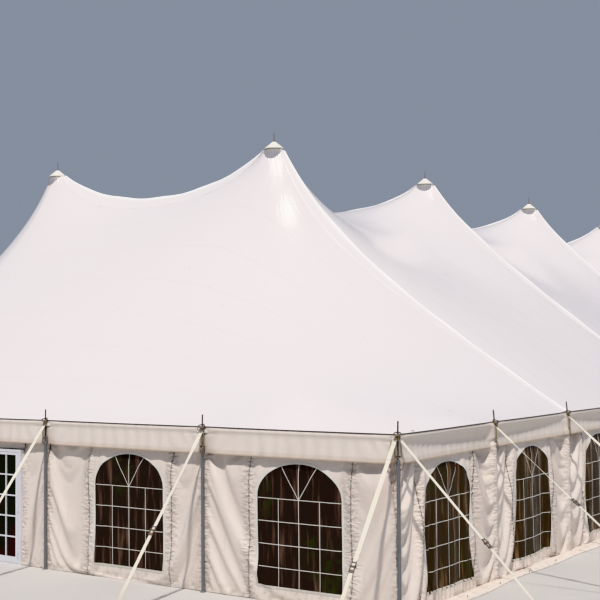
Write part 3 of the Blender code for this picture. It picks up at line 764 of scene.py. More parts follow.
section_edges = (-HALF_LENGTH,) + PEAK_LINES + (HALF_LENGTH,)
SECTIONS = ("roof_front_end", "roof_middle_1", "roof_middle_2", "roof_middle_3", "roof_back_end")
for name, low, high in zip(SECTIONS, section_edges, section_edges[1:]):
    roof_section(name, low, high)

# %% [markdown]
# ### The lacing flaps
# Where two sections of roof meet, a flap is lapped over the laced rope, so that rain can't get in.
# It shows as a raised white band with a bright roll at the joint, so it is a strip of cloth laid a
# few millimetres over the membrane, with its own section.

# %% Lacing flaps
FLAP_SECTION = np.array((
    (0.030, 0.004), (0.018, 0.030), (-0.006, 0.048), (-0.032, 0.036), (-0.060, 0.010),
    (-0.17, 0.010), (-0.285, 0.014), (-0.31, 0.010), (-0.325, 0.002)))
FLAP_STEP = 0.11
FLAP_SPANS = ((-9.485, -3.47), (-2.93, 2.93), (3.47, 9.485))
FLAP_LEAST = 0.002


def add_flap(mesh, number, line, start, end):
    """One length of flap beside a line of peaks, narrower near the rings and towards the eave."""
    count = round((end - start) / FLAP_STEP)
    x, offset = np.meshgrid(np.linspace(start, end, count + 1), FLAP_SECTION[:, 0])
    ripple = 0.004 * np.sin(9.0 * x + 2.0 * number) * np.sin(3.1 * x) * (offset < -0.1)
    lift = FLAP_SECTION[:, 1:] * (1.0 + 0.20 * np.sin(5.3 * x + number)) + ripple
    taper = 0.15 + 0.85 * np.clip((np.abs(np.abs(x) - PEAK_X) - 0.2) / 1.4, 0, 1) ** 0.7
    taper = taper * (1.0 - 0.5 * np.clip((np.abs(x) - 4.0) / 5.5, 0, 1))
    y = line + offset * taper
    height = roof_height(x, y) + np.maximum(lift * (0.4 + 0.6 * taper), FLAP_LEAST)
    add_grid(mesh, count, len(FLAP_SECTION) - 1, np.stack([x, y, height], axis=-1))


for number, line in enumerate(PEAK_LINES, 1):
    mesh = bmesh.new()
    for start, end in FLAP_SPANS:
        add_flap(mesh, number, line, start, end)
    face_up(mesh)
    flap = finished(f"lacing_flap_{number}", mesh, FLAP, "roof_membrane")
    cut_from(flap, ROOF_CUT_WIDTH, area_of(flap), "stretched", rests_on=["roof_middle_1_cloth"])
print("lacing flaps:", len(PEAK_LINES))

# %% [markdown]
# ### Peaks
# Each centre pole ends in a bale ring and a spigot. A cone cap sheds the rain, and between the cap
# and the membrane hangs a gathered vent, coloured grey as painted shade of the opening under the cap.
# Poles and caps are turned shapes, so a profile is spun round the pole's axis.

# %% Centre poles
RING_TOP = 7.76
POLE_PROFILE = (
    (0.0, 0.0), (0.198, 0.0), (0.2, 0.003), (0.2, 0.012), (0.075, 0.014), (0.066, 0.05), (0.057, 0.06),
    (0.057, 2.55), (0.063, 2.56), (0.063, 2.74), (0.057, 2.75), (0.057, 5.15), (0.063, 5.16),
    (0.063, 5.34), (0.057, 5.35), (0.057, 7.50), (0.075, 7.52), (0.165, 7.64), (0.183, 7.645),
    (0.185, 7.74), (0.178, RING_TOP), (0.04, RING_TOP), (0.016, 7.80), (0.016, 7.95), (0.008, 7.96),
    (0.008, 8.095), (0.006, 8.104), (0.0, 8.106))
centre_pole = pattern(add_turned, POLE_PROFILE, 24)
peaks = [(x, line) for x in (-PEAK_X, PEAK_X) for line in PEAK_LINES]


def stamped(name, shape, matrix, material, slot, **more):
    """A piece of one stamped shape."""
    mesh = bmesh.new()
    stamp(mesh, shape, matrix)
    return finished(name, mesh, material, slot, **more)


for number, (x, line) in enumerate(peaks, 1):
    stamped(
        f"centre_pole_{number}_dressed", centre_pole, Matrix.Translation((x, line, 0.0)), ALUMINIUM,
        "aluminium_pole", stands_for=f"centre_pole_{number}", crease=30)
print("centre poles:", len(peaks))

# %% Caps, collars and vents
CAP_PROFILE = (
    (0.0165, 7.892), (0.085, 7.858), (0.14, 7.818), (0.197, 7.772), (0.197, 7.758), (0.2030, 7.757),
    (0.2050, 7.764), (0.2035, 7.776), (0.186, 7.790), (0.142, 7.827), (0.088, 7.870), (0.050, 7.904),
    (0.038, 7.914), (0.0165, 7.915), (0.0165, 7.892))
COLLAR_PROFILE = (
    (0.0168, 7.912), (0.030, 7.912), (0.032, 7.918), (0.030, 7.932), (0.021, 7.937), (0.0195, 7.946),
    (0.0168, 7.948), (0.0168, 7.912))
cap_shape = pattern(add_turned, CAP_PROFILE, 40)
collar_shape = pattern(add_turned, COLLAR_PROFILE)
CAP_CUT_WIDTH = 0.6
PLEATS = 26
PLEAT_DEPTH = 0.0045
VENT_HEAD = 0.190
VENT_FOOT = 0.230
VENT_TOP = 7.756
VENT_CUT_WIDTH = 1.55


def vent_skirt(name, x, line):
    """The gathered vent between a cap and the membrane."""
    turn, drop = np.meshgrid(np.linspace(0, math.tau, PLEATS * 6 + 1), np.linspace(0, 1, 9))
    pleats = PLEAT_DEPTH * np.sin(PLEATS * turn) * np.sin(math.pi * drop * 0.8 + 0.3)
    radius = VENT_HEAD + (VENT_FOOT - VENT_HEAD) * drop + pleats
    rim = roof_height(x + VENT_FOOT * np.cos(turn), line + VENT_FOOT * np.sin(turn)) - 0.004
    height = VENT_TOP + (rim - VENT_TOP) * drop
    places = np.stack([x + radius * np.cos(turn), line + radius * np.sin(turn), height], axis=-1)
    mesh = bmesh.new()
    add_grid(mesh, PLEATS * 6, 8, places)
    bmesh.ops.remove_doubles(mesh, verts=mesh.verts, dist=1e-5)
    bmesh.ops.recalc_face_normals(mesh, faces=mesh.faces)
    vent = finished(name, mesh, VENT_PAINTED_SHADE, "cap_fabric")
    cut_from(vent, VENT_CUT_WIDTH, area_of(vent), "gathered")


for number, (x, line) in enumerate(peaks, 1):
    on_peak = Matrix.Translation((x, line, 0.0))
    cap = stamped(
        f"peak_cap_{number}_cloth", cap_shape, on_peak @ Matrix.Rotation(number * 1.7, 4, "Z"), CAP,
        "cap_fabric", stands_for=f"peak_cap_{number}", crease=50)
    cut_from(cap, CAP_CUT_WIDTH, area_of(cap) / 2, "stretched")
    stamped(f"cap_collar_{number}", collar_shape, on_peak, STEEL, "aluminium_pole", crease=40)
    vent_skirt(f"vent_skirt_{number}", x, line)
print("peaks dressed:", len(peaks))

# %% [markdown]
# ## Hanging the cloth
# Folds are the character of a marquee's wall, and they are hard to draw by hand. So a few panels of
# one bay are hung in Blender's cloth simulation: fixed at the eave and at the poles, sewn tight
# along the window seams, and cut a little too large in between, so that they fall into swags. The
# moves of every point are kept as tables, and each bay of the tent takes one of them.

# %% Panels for the simulation
PANEL_WIDTH = 3.3
PANEL_HALF = PANEL_WIDTH / 2
WALL_TOP = 2.4365
SEAM_REACH = 0.87
VALANCE_LOW = 2.055
VALANCE_TOP = 2.4385
DROP = VALANCE_TOP - VALANCE_LOW
PANEL_STEP = 0.03
HANG_FRAMES = 50
GATHER_FRAMES = 16
EDGE_HELD = 0.02
PEG_PITCH = 0.82
BETWEEN_PEGS = 0.36
STIFFNESS = 20
CLOTH_MASS = 0.25


def ease(value, low, high):
    """Smooth change from 0 to 1 while the value goes from low to high."""
    share = np.clip((value - low) / (high - low), 0.0, 1.0)
    return share * share * (3 - 2 * share)


def bump(value, width):
    """1 at zero, and dying out smoothly on both sides."""
    return np.exp(-(value / width) ** 2)


def wall_pins(x, z, slack):
    """How firmly each point of a wall panel is held: a slack foot is held by its pegs alone."""
    held = (z > WALL_TOP - EDGE_HELD) | (np.abs(x) > PANEL_HALF - EDGE_HELD)
    pegs = np.abs((x + PANEL_HALF) % PEG_PITCH - PEG_PITCH / 2) > BETWEEN_PEGS
    foot = pegs * 1.0 if slack else np.full(x.shape, 0.9)
    return np.where(held, 1.0, np.where(z < EDGE_HELD, foot, 0.0))


def valance_pins(x, z, slack):
    """A valance hangs from its top edge and is tied back at the poles."""
    tied = (np.abs(x) > PANEL_HALF - EDGE_HELD) & (z > (0.10 if slack else 0.0))
    return np.where((z > DROP - EDGE_HELD) | tied, 1.0, 0.0)


def loosened(x, z, wide, tall, slant, overall):
    """The flat cut of a panel: wider, taller and more slanted beyond its seams than its place."""
    beyond = np.clip((np.abs(x) - SEAM_REACH) / (PANEL_HALF - SEAM_REACH), 0, 1)
    side_slant = np.where(x > 0, slant[0], slant[1])
    cut_x = x * (1 + overall * ease(z, 0.0, 0.06)) + np.sign(x) * wide * beyond
    cut_z = z * (1 + tall * ease(np.abs(x), 0.80, 0.95)) - side_slant * beyond
    return cut_x, cut_z


def hung_panel(name, height, pins, slack, looseness, weight, bend, bow):
    """One panel, ready for the simulation."""
    across = round(PANEL_WIDTH / PANEL_STEP)
    up = max(round(height / PANEL_STEP), 6)
    x, z = np.meshgrid(np.linspace(-PANEL_HALF, PANEL_HALF, across + 1), np.linspace(0, height, up + 1))
    phase = CHANCE.uniform(0, math.tau, 4)
    edge = np.clip((PANEL_HALF - np.abs(x)) / 0.1, 0, 1) * np.clip((height - z) / 0.3, 0, 1)
    wave = np.sin(7 * x + 2 * z + phase[0]) + np.sin(11 * x - 5 * z + phase[1])
    wave += np.sin(4 * z + 3 * x + phase[2]) + np.sin(23 * z + 5 * x + phase[3])
    bowed = bow * np.cos(math.pi * x / PANEL_WIDTH) * np.sin(math.pi * z / height)
    mesh = bmesh.new()
    add_grid(mesh, across, up, np.stack([x, edge * 0.004 * wave + bowed, z], axis=-1))
    data = bpy.data.meshes.new(name)
    mesh.to_mesh(data)
    mesh.free()
    panel = bpy.data.objects.new(name, data)
    STAGE.collection.objects.link(panel)
    held = panel.vertex_groups.new(name="held")
    places = points_of(data)
    for index, grip in enumerate(pins(places[:, 0], places[:, 2], slack)):
        held.add([index], float(grip), "REPLACE")
    cut_x, cut_z = loosened(places[:, 0], places[:, 2], *looseness)
    move_points(data, np.stack([cut_x, places[:, 1], cut_z], axis=1))
    panel.shape_key_add(name="cut")
    gathered = panel.shape_key_add(name="gathered")
    gathered.data.foreach_set("co", places.astype(np.float32).ravel())
    for moment, share in ((1, 0.0), (GATHER_FRAMES, 1.0)):
        gathered.value = share
        gathered.keyframe_insert("value", frame=moment)
    cloth = panel.modifiers.new("cloth", "CLOTH")
    rules = cloth.settings
    rules.quality = 5
    rules.mass = CLOTH_MASS
    rules.air_damping = 2
    rules.tension_stiffness = STIFFNESS
    rules.compression_stiffness = STIFFNESS
    rules.shear_stiffness = STIFFNESS / 5
    rules.bending_stiffness = bend
    rules.bending_damping = 0.5
    rules.vertex_group_mass = "held"
    rules.effector_weights.gravity = weight
    cloth.collision_settings.use_collision = False
    cloth.point_cache.frame_end = HANG_FRAMES
    order = np.lexsort((np.round(places[:, 0], 3), np.round(places[:, 2], 3)))
    return panel, order, np.stack([x, np.zeros_like(x), z], axis=-1)


# %% Run the clock and keep the moves
UNCUT = (0.0, 0.0, (0.0, 0.0))
PANELS = {
    "calm": (WALL_TOP, wall_pins, False, (0.055, 0.025, (0.08, 0.10), 0.004), 0.5, 0.15, 0.0),
    "soft": (WALL_TOP, wall_pins, False, (0.070, 0.030, (0.10, 0.06), 0.005), 0.7, 0.10, 0.0),
    "heavy": (WALL_TOP, wall_pins, False, (0.065, 0.080, (0.05, 0.04), 0.008), 1.0, 0.10, -0.02),
    "slack": (WALL_TOP, wall_pins, True, (0.085, 0.100, (0.04, 0.07), 0.012), 1.0, 0.05, -0.03),
    "wave": (DROP, valance_pins, False, (*UNCUT, 0.010), 0.5, 0.40, -0.004),
    "swag": (DROP, valance_pins, True, (*UNCUT, 0.005), 1.0, 0.40, 0.020)}
panels = {name: hung_panel(name, *values) for name, values in PANELS.items()}
for moment in range(1, HANG_FRAMES + 1):
    STAGE.frame_set(moment)
depsgraph = bpy.context.evaluated_depsgraph_get()
HUNG = {}
for name, (panel, order, rest) in panels.items():
    settled = bpy.data.meshes.new_from_object(panel.evaluated_get(depsgraph))
    HUNG[name] = points_of(settled)[order].reshape(rest.shape) - rest
    depth = HUNG[name][..., 1]
    print("hung", name, "from", round(float(depth.min()), 3), "to", round(float(depth.max()), 3))
    bpy.data.meshes.remove(settled)
for panel, _, _ in panels.values():
    bpy.data.objects.remove(panel)
STAGE.frame_set(1)

# %% [markdown]
# ## Walls
# A wall is cut from flat cloth, bay by bay, with arched window openings. Its grid is finest beside
# the seams, where the cloth puckers. The tables from the simulation then move the flat points, and
# three rules keep the cloth where it can be: it stays behind the poles of the ends, it is drawn over
# the poles of the long sides, and beside the windows it leans in behind the valance.

# %% Bays
WALL_FACE = 0.0346
WINDOW_HALF = 0.715
SILL, SPRING, CROWN = 0.22, 1.50, 1.97
DOOR_LEFT, DOOR_RIGHT = 0.35, 2.20
DOOR_HEAD = 1.935
WINDOW_SHIFTS = {("front", 2.8): 0.15, ("front", 6.15): 0.035}


def larger(first, second, blend=0.012):
    """The larger of two values, rounded off where they cross."""
    return 0.5 * (first + second + np.sqrt((first - second) ** 2 + blend ** 2))


def read_table(table, across, up):
    """Read a table of moves at shares of its width and height."""
    last_row, last_column = table.shape[0] - 1, table.shape[1] - 1
    u, v = np.clip(across, 0, 1) * last_column, np.clip(up, 0, 1) * last_row
    i, j = np.minimum(u.astype(int), last_column - 1), np.minimum(v.astype(int), last_row - 1)
    u, v = (u - i)[..., None], (v - j)[..., None]
    low = table[j, i] * (1 - u) + table[j, i + 1] * u
    high = table[j + 1, i] * (1 - u) + table[j + 1, i + 1] * u
    return low * (1 - v) + high * v


def bays_of(side):
    """The bays between the poles of a side, with the hang that each takes."""
    kinds = ("calm", "soft") if side in ENDS else ("slack", "heavy")
    poles = SIDE_POLES[side]
    return [{
        "side": side, "left": left, "right": right, "window": True,
        "middle": (left + right) / 2 + WINDOW_SHIFTS.get((side, left), 0.0),
        "kind": kinds[(number + number // 3) % 2], "flip": 1 if (number * 5) % 3 else -1,
        "strength": 0.85 + 0.3 * CHANCE.random()}
        for number, (left, right) in enumerate(zip(poles, poles[1:]))]


def plain_bay(left, right, kind, strength):
    """A piece of front wall without a window, beside or over the door."""
    return {
        "side": "front", "left": left, "right": right, "window": False,
        "middle": (left + right) / 2, "kind": kind, "flip": 1, "strength": strength}


BAYS = {side: bays_of(side) for side in SIDE_POLES}
BESIDE_DOOR = [plain_bay(0.0, DOOR_LEFT, "soft", 0.6), plain_bay(DOOR_RIGHT, 2.8, "soft", 0.6)]
front = [bay for bay in BAYS["front"] if bay["left"] != 0.0]
front = sorted(front + BESIDE_DOOR, key=lambda bay: bay["left"])
GROUPS = {
    "front_left": [bay for bay in front if bay["right"] <= DOOR_LEFT],
    "front_right": [bay for bay in front if bay["left"] >= DOOR_RIGHT],
    "back": BAYS["back"], "left": BAYS["left"], "right": BAYS["right"]}
print("bays:", {group: len(bays) for group, bays in GROUPS.items()})

# %% Moves of a wall bay
GATHER_WIDTH = 0.075
END_GATHERS = (0.0150, 0.003)
LONG_GATHERS = (0.0115, 0.018)
END_LEAN = (0.048, 1.65)
LONG_LEAN = (0.080, 1.10)
UNDER_VALANCE = (1.80, 2.03)
VALANCE_ROOM = 0.030
FOREMOST = -0.13
BEHIND_POLE = 0.0325
COVER_WIDTH = 0.11


def seams_of(bay):
    """Places along a bay where the cloth is stitched or tied."""
    inner = (bay["middle"] - SEAM_REACH, bay["middle"] + SEAM_REACH) if bay["window"] else ()
    return (bay["left"], bay["right"]) + inner


def gathers(bay, along, height):
    """Short puckers beside the seams and under the window sill."""
    total = np.zeros_like(along)
    inwards = {bay["left"]: 0.9, bay["right"]: 0.9}
    strength, ruffle = END_GATHERS if bay["side"] in ENDS else LONG_GATHERS
    for seam in seams_of(bay):
        away = np.abs(along - seam)
        climb = height + 0.5 * away
        phase = 7.3 * seam
        wave = 0.6 * np.sin(climb * 78 + phase + 1.8 * np.sin(9 * height + phase))
        wave += 0.5 * np.sin(climb * 127 + 2 * phase + 2.1 * np.sin(6 * height))
        patchy = 0.65 + 0.35 * np.sin(5.1 * height + phase)
        fading = np.exp(-(away / GATHER_WIDTH) ** 1.4)
        total += strength * patchy * fading * (wave + inwards.get(seam, 0.0))
    if bay["window"]:
        local = along - bay["middle"]
        sill = ease(height, 0.05, 0.10) * ease(height, SILL + 0.03, SILL - 0.01)
        sill = sill * ease(np.abs(local), 0.82, 0.72)
        total += ruffle * sill * np.sin(local * 60 + 1.5 * np.sin(7 * local + bay["left"]))
    return total


def covered(left, right, along):
    """How far the cloth of a long side is drawn over the nearer pole. Corner poles stay bare."""
    corner = HALF_LENGTH - 0.1
    from_left = np.where(abs(left) < corner, along - left, 9.0)
    from_right = np.where(abs(right) < corner, right - along, 9.0)
    return bump(np.minimum(from_left, from_right), COVER_WIDTH)


def on_panel(bay, along):
    """Where a place of a bay lies on its panel, with the seams in the same places."""
    if not bay["window"]:
        share = (along - bay["left"]) / (bay["right"] - bay["left"])
        return SEAM_REACH + share * (PANEL_HALF - SEAM_REACH)
    half = np.where(along < bay["middle"], bay["middle"] - bay["left"], bay["right"] - bay["middle"])
    local = (along - bay["middle"]) * bay["flip"]
    spread = (half - SEAM_REACH) / (PANEL_HALF - SEAM_REACH)
    beyond = np.clip(np.abs(local) - SEAM_REACH, 0, None) / spread
    return np.sign(local) * (np.minimum(np.abs(local), SEAM_REACH) + beyond)


def hang(bay, along, height, proud=0.0):
    """Places of a bay's hung cloth, from places on its flat cut."""
    along, height = np.broadcast_arrays(np.asarray(along, dtype=float), np.asarray(height, dtype=float))
    panel = on_panel(bay, along) / PANEL_WIDTH + 0.5
    moves = read_table(HUNG[bay["kind"]], panel, height / WALL_TOP) * bay["strength"]
    puckers = gathers(bay, along, height)
    under_valance = ease(height, *UNDER_VALANCE)
    beside = ease(np.abs(along - bay["middle"]), 0.72, 0.95) if bay["window"] else 0.5
    inwards, start = END_LEAN if bay["side"] in ENDS else LONG_LEAN
    lean = inwards * beside * ease(height, start, 2.0) * (1 - 0.7 * ease(height, 2.12, 2.42))
    depth = WALL_FACE + moves[..., 1] + puckers + VALANCE_ROOM * under_valance + lean
    from_pole = np.minimum(along - bay["left"], bay["right"] - along)
    front_limit = FOREMOST + 0.195 * under_valance
    pole_limit = BEHIND_POLE - 0.17 * ease(from_pole, 0.05, 0.20)
    depth = larger(larger(depth, front_limit), pole_limit)
    if bay["side"] in LONG_SIDES:
        cover = covered(bay["left"], bay["right"], along)
        over_pole = -0.037 + 0.024 * ease(height, 2.12, 2.18) + 0.5 * puckers
        depth = depth * (1 - cover) + over_pole * cover
    settled = np.maximum(height + moves[..., 2], 0.004)
    shift = moves[..., 0] * bay["flip"] * ease(from_pole, 0.0, 0.05)
    return on_side(bay["side"], along + shift, depth - proud, settled)


# %% Cut and hang a wall
CLOTH_MERGE = 0.0008
WALL_FOOT = 0.004
BEYOND_SEAM = 1.02
NEAR_POLE = 0.16
CLOTH_CELL = 0.035
HEIGHT_STRETCHES = ((WALL_FOOT, SILL, 8), (SILL, SPRING, 47), (SPRING, CROWN, 17), (CROWN, WALL_TOP, 17))


def bay_lines(bay):
    """Where the grid lines of a bay stand: close together beside the seams."""
    if not bay["window"]:
        count = max(round((bay["right"] - bay["left"]) / 0.027), 6)
        return np.linspace(bay["left"], bay["right"], count + 1)
    lines = [bay["middle"]]
    for sign, half in ((-1, bay["middle"] - bay["left"]), (1, bay["right"] - bay["middle"])):
        stretches = (
            (0.0, WINDOW_HALF, 26), (WINDOW_HALF, BEYOND_SEAM, 12),
            (BEYOND_SEAM, half - NEAR_POLE, max(round((half - BEYOND_SEAM - NEAR_POLE) / CLOTH_CELL), 2)),
            (half - NEAR_POLE, half, 6))
        for start, end, count in stretches:
            lines.extend(bay["middle"] + sign * np.linspace(start, end, count + 1)[1:])
    return np.sort(lines)


def in_arch(local, height):
    """Below 1 inside the window's arch, above its spring line."""
    return np.hypot(local / WINDOW_HALF, (height - SPRING) / (CROWN - SPRING))


def cut_window(mesh, bay, verts):
    """Take the window's faces out of the flat cloth and round the cut's edge."""
    hole = []
    for face in {face for vertex in verts for face in vertex.link_faces}:
        centre = face.calc_center_median()
        local, height = centre.x - bay["middle"], centre.z
        inside = abs(local) < WINDOW_HALF and SILL < height
        if inside and (height < SPRING or in_arch(local, height) < 1.0):
            hole.append(face)
    rim = {vertex for face in hole for vertex in face.verts}
    bmesh.ops.delete(mesh, geom=hole, context="FACES")
    for vertex in rim:
        if vertex.is_valid and vertex.co.z > SPRING + 0.001:
            local = vertex.co.x - bay["middle"]
            reach = in_arch(local, vertex.co.z)
            vertex.co.x = bay["middle"] + local / reach
            vertex.co.z = SPRING + (vertex.co.z - SPRING) / reach
    return [vertex for vertex in verts if vertex.is_valid]


def wall_cloth(name, bays, replaced, low=0.0):
    """A wall of several bays, hung between its poles."""
    mesh = bmesh.new()
    pucker = mesh.verts.layers.float.new("pucker")
    up = np.concatenate([[WALL_FOOT]] + [np.linspace(a, b, n + 1)[1:] for a, b, n in HEIGHT_STRETCHES])
    up = up[up >= low]
    cut_area = 0.0
    for bay in bays:
        across = bay_lines(bay)
        flat_x, flat_z = np.meshgrid(across, up)
        flat = np.stack([flat_x, np.zeros_like(flat_x), flat_z], axis=-1)
        verts = add_grid(mesh, len(across) - 1, len(up) - 1, flat)
        if bay["window"]:
            verts = cut_window(mesh, bay, verts)
        cut_area += sum(face.calc_area() for face in {f for v in verts for f in v.link_faces})
        flat = np.array([vertex.co for vertex in verts])
        seam = np.min([np.abs(flat[:, 0] - seam) for seam in seams_of(bay)], axis=0)
        hung = hang(bay, flat[:, 0], flat[:, 2])
        for vertex, place, away in zip(verts, hung, seam):
            vertex.co = place
            vertex[pucker] = bump(away, 0.11)
    bmesh.ops.remove_doubles(mesh, verts=mesh.verts, dist=CLOTH_MERGE)
    wall = finished(name, mesh, WALL, "wall_fabric", replaced)
    cut_from(wall, bays[-1]["right"] - bays[0]["left"], cut_area, "hung")
    print(name, len(wall.data.polygons), "faces, cut from", round(cut_area, 1), "square metres")


wall_cloth("wall_front_left", GROUPS["front_left"], "front_wall_left")
wall_cloth("wall_front_right", GROUPS["front_right"], "front_wall_right")
wall_cloth("wall_back", BAYS["back"], "back_wall")
for side in LONG_SIDES:
    wall_cloth(f"wall_{side}_first", BAYS[side][:5], f"{side}_wall")
    wall_cloth(f"wall_{side}_second", BAYS[side][5:], f"{side}_wall")
over_door = plain_bay(DOOR_LEFT, DOOR_RIGHT, "calm", 0.2)
wall_cloth("wall_over_door", [over_door], "front_wall_over_door", low=DOOR_HEAD)

# %% [markdown]
# ## Windows
# Each window is clear film welded behind the cut, a binding round its edge, and white strips that
# stand for glazing bars. They all follow the hung cloth, so the bars waver as they do on the real
# tent. Each film is made with its rows squeezed into the arch, so nothing has to be cut.

# %% Window film
FILM_HALF = 0.74
FILM_LAP = 0.025
FILM_CUT = (1.46, 2.44)


def add_film(mesh, bay):
    """Film for one window, with its top row along the arch."""
    local = np.linspace(-FILM_HALF, FILM_HALF, 25)
    top = SPRING + (CROWN - SPRING + FILM_LAP) * np.sqrt(np.clip(1 - (local / FILM_HALF) ** 2, 0, 1))
    share = np.linspace(0, 1, 33)[:, None]
    height = (SILL - FILM_LAP) + (top - SILL + FILM_LAP)[None] * share
    along = bay["middle"] + np.broadcast_to(local, height.shape)
    add_grid(mesh, 24, 32, hang(bay, along, height, proud=-0.006))


# %% Bars, bindings and seams
STRIP_CROWN = 0.003
BAR_WIDTH = 0.011
BAR_ROWS = (0.492, 0.817, 1.142, 1.467)
BAR_COLUMN = 0.35
FAN_END = (0.298, 1.925)


def add_ribbon(mesh, bay, path, width, proud, crown=STRIP_CROWN):
    """A flat strip with a low crown, laid on the hung cloth along a path of its flat cut."""
    path = np.asarray(path, dtype=float)
    ahead = np.gradient(path, axis=0)
    ahead /= np.linalg.norm(ahead, axis=1)[:, None]
    offsets = np.array([-0.5, 0.0, 0.5]) * width
    along = bay["middle"] + path[:, None, 0] + ahead[:, None, 1] * offsets
    height = path[:, None, 1] - ahead[:, None, 0] * offsets
    lift = np.broadcast_to(proud + crown * np.array([0.0, 1.0, 0.0]), along.shape)
    add_grid(mesh, 2, len(path) - 1, hang(bay, along, height, proud=lift))


def straight(start, end, step=0.05):
    count = max(round(math.dist(start, end) / step), 2)
    return np.linspace(start, end, count + 1)


def add_bars(mesh, bay):
    """The strips that imitate glazing bars: four columns, four rows and a fan in the arch."""
    row_end = WINDOW_HALF - 0.012
    fan_start = (0.0, BAR_ROWS[-1])
    for local in (-BAR_COLUMN, BAR_COLUMN):
        add_ribbon(mesh, bay, straight((local, SILL), (local, BAR_ROWS[-1])), BAR_WIDTH, -0.0045)
    add_ribbon(mesh, bay, straight((0.0, SILL), (0.0, CROWN)), BAR_WIDTH + 0.001, -0.0045)
    for height in BAR_ROWS:
        add_ribbon(mesh, bay, straight((-row_end, height), (row_end, height)), BAR_WIDTH, -0.0043)
    for side in (-1, 1):
        add_ribbon(mesh, bay, straight(fan_start, (side * FAN_END[0], FAN_END[1])), BAR_WIDTH, -0.0041)


def add_binding(mesh, bay):
    """The welded border round a window."""
    turns = np.linspace(math.pi, 0, 33)
    reach = WINDOW_HALF + 0.016
    rise = CROWN - SPRING + 0.016
    foot = SILL - 0.010
    arch = np.stack([np.cos(turns) * reach, SPRING + np.sin(turns) * rise], axis=1)
    left, right = straight((-reach, foot), (-reach, SPRING)), straight((reach, SPRING), (reach, foot))
    add_ribbon(mesh, bay, np.vstack([left[:-1], arch, right[1:]]), 0.034, 0.0015)
    add_ribbon(mesh, bay, straight((-reach, foot), (reach, foot), 0.02), 0.040, 0.002)


def add_seam(mesh, bay, local):
    """A stitched seam with its small toggles."""
    add_ribbon(mesh, bay, straight((local, 0.03), (local, 2.35), 0.02), 0.011, 0.0015)
    for height in np.arange(0.10, 2.0, 0.105):
        toggle = [(local - 0.014, height - 0.006), (local + 0.014, height)]
        add_ribbon(mesh, bay, toggle, 0.011, 0.002, crown=0.004)


for group, bays in GROUPS.items():
    windows = [bay for bay in bays if bay["window"]]
    film, bars, seams = bmesh.new(), bmesh.new(), bmesh.new()
    for bay in windows:
        add_film(film, bay)
        add_bars(bars, bay)
        add_binding(bars, bay)
        add_seam(seams, bay, -SEAM_REACH)
        add_seam(seams, bay, SEAM_REACH)
    sheet = finished(f"film_{group}", film, FILM, "window_film", f"window_film_{group}")
    strips = finished(f"window_bars_{group}", bars, STRIP, "wall_fabric")
    finished(f"wall_seams_{group}", seams, SEAM_LINE, "wall_fabric")
    width, area = (size * len(windows) for size in FILM_CUT)
    cut_from(sheet, width, area, "hung", with_pieces=[strips])
    print("windows", group, len(windows), "bars", len(strips.data.polygons))

# %% [markdown]
# ## Valance
# The valance is the strip that hangs from the roof's edge over the top of the wall. At the ends it
# only ripples. Along the sides it is tied at every second pole and slack in between, so it sags
# there and takes the heavier hang.

# %% Valance
LOOSE_TIE = 0.2
BELLY = 0.062
TIE_WIDTH = 0.30
VALANCE_STEPS = 76
VALANCE_CUT_HEIGHT = 0.39
SLACK_FLARE, SLACK_DRAWN = 0.035, 0.018
TIED_FLARE, TIED_DRAWN = 0.045, 0.003
ROLL_HEIGHT = 2.405
PINCH_HEIGHT = 2.345
POLE_TOP = 2.14
BEHIND_PIN = 0.0095
HINDMOST = 0.057
HEM_TOP, HEM_FADE = 2.075, 2.11


def tie_at(side, pole):
    """How firmly the valance is tied at a pole: along the sides every second pole is passed loosely."""
    return 1.0 if side in ENDS or LONG_POLES.index(pole) % 2 == 0 else LOOSE_TIE


def belly_of(share, from_tie):
    """How far the slack valance bellies inwards, more so far from its firm tie."""
    lens = 0.1 + 0.9 * np.sin(math.pi / 2 * np.clip(from_tie / 3.0, 0, 1))
    return BELLY * lens * ease(share, 0.06, 0.30 + 0.35 * lens)


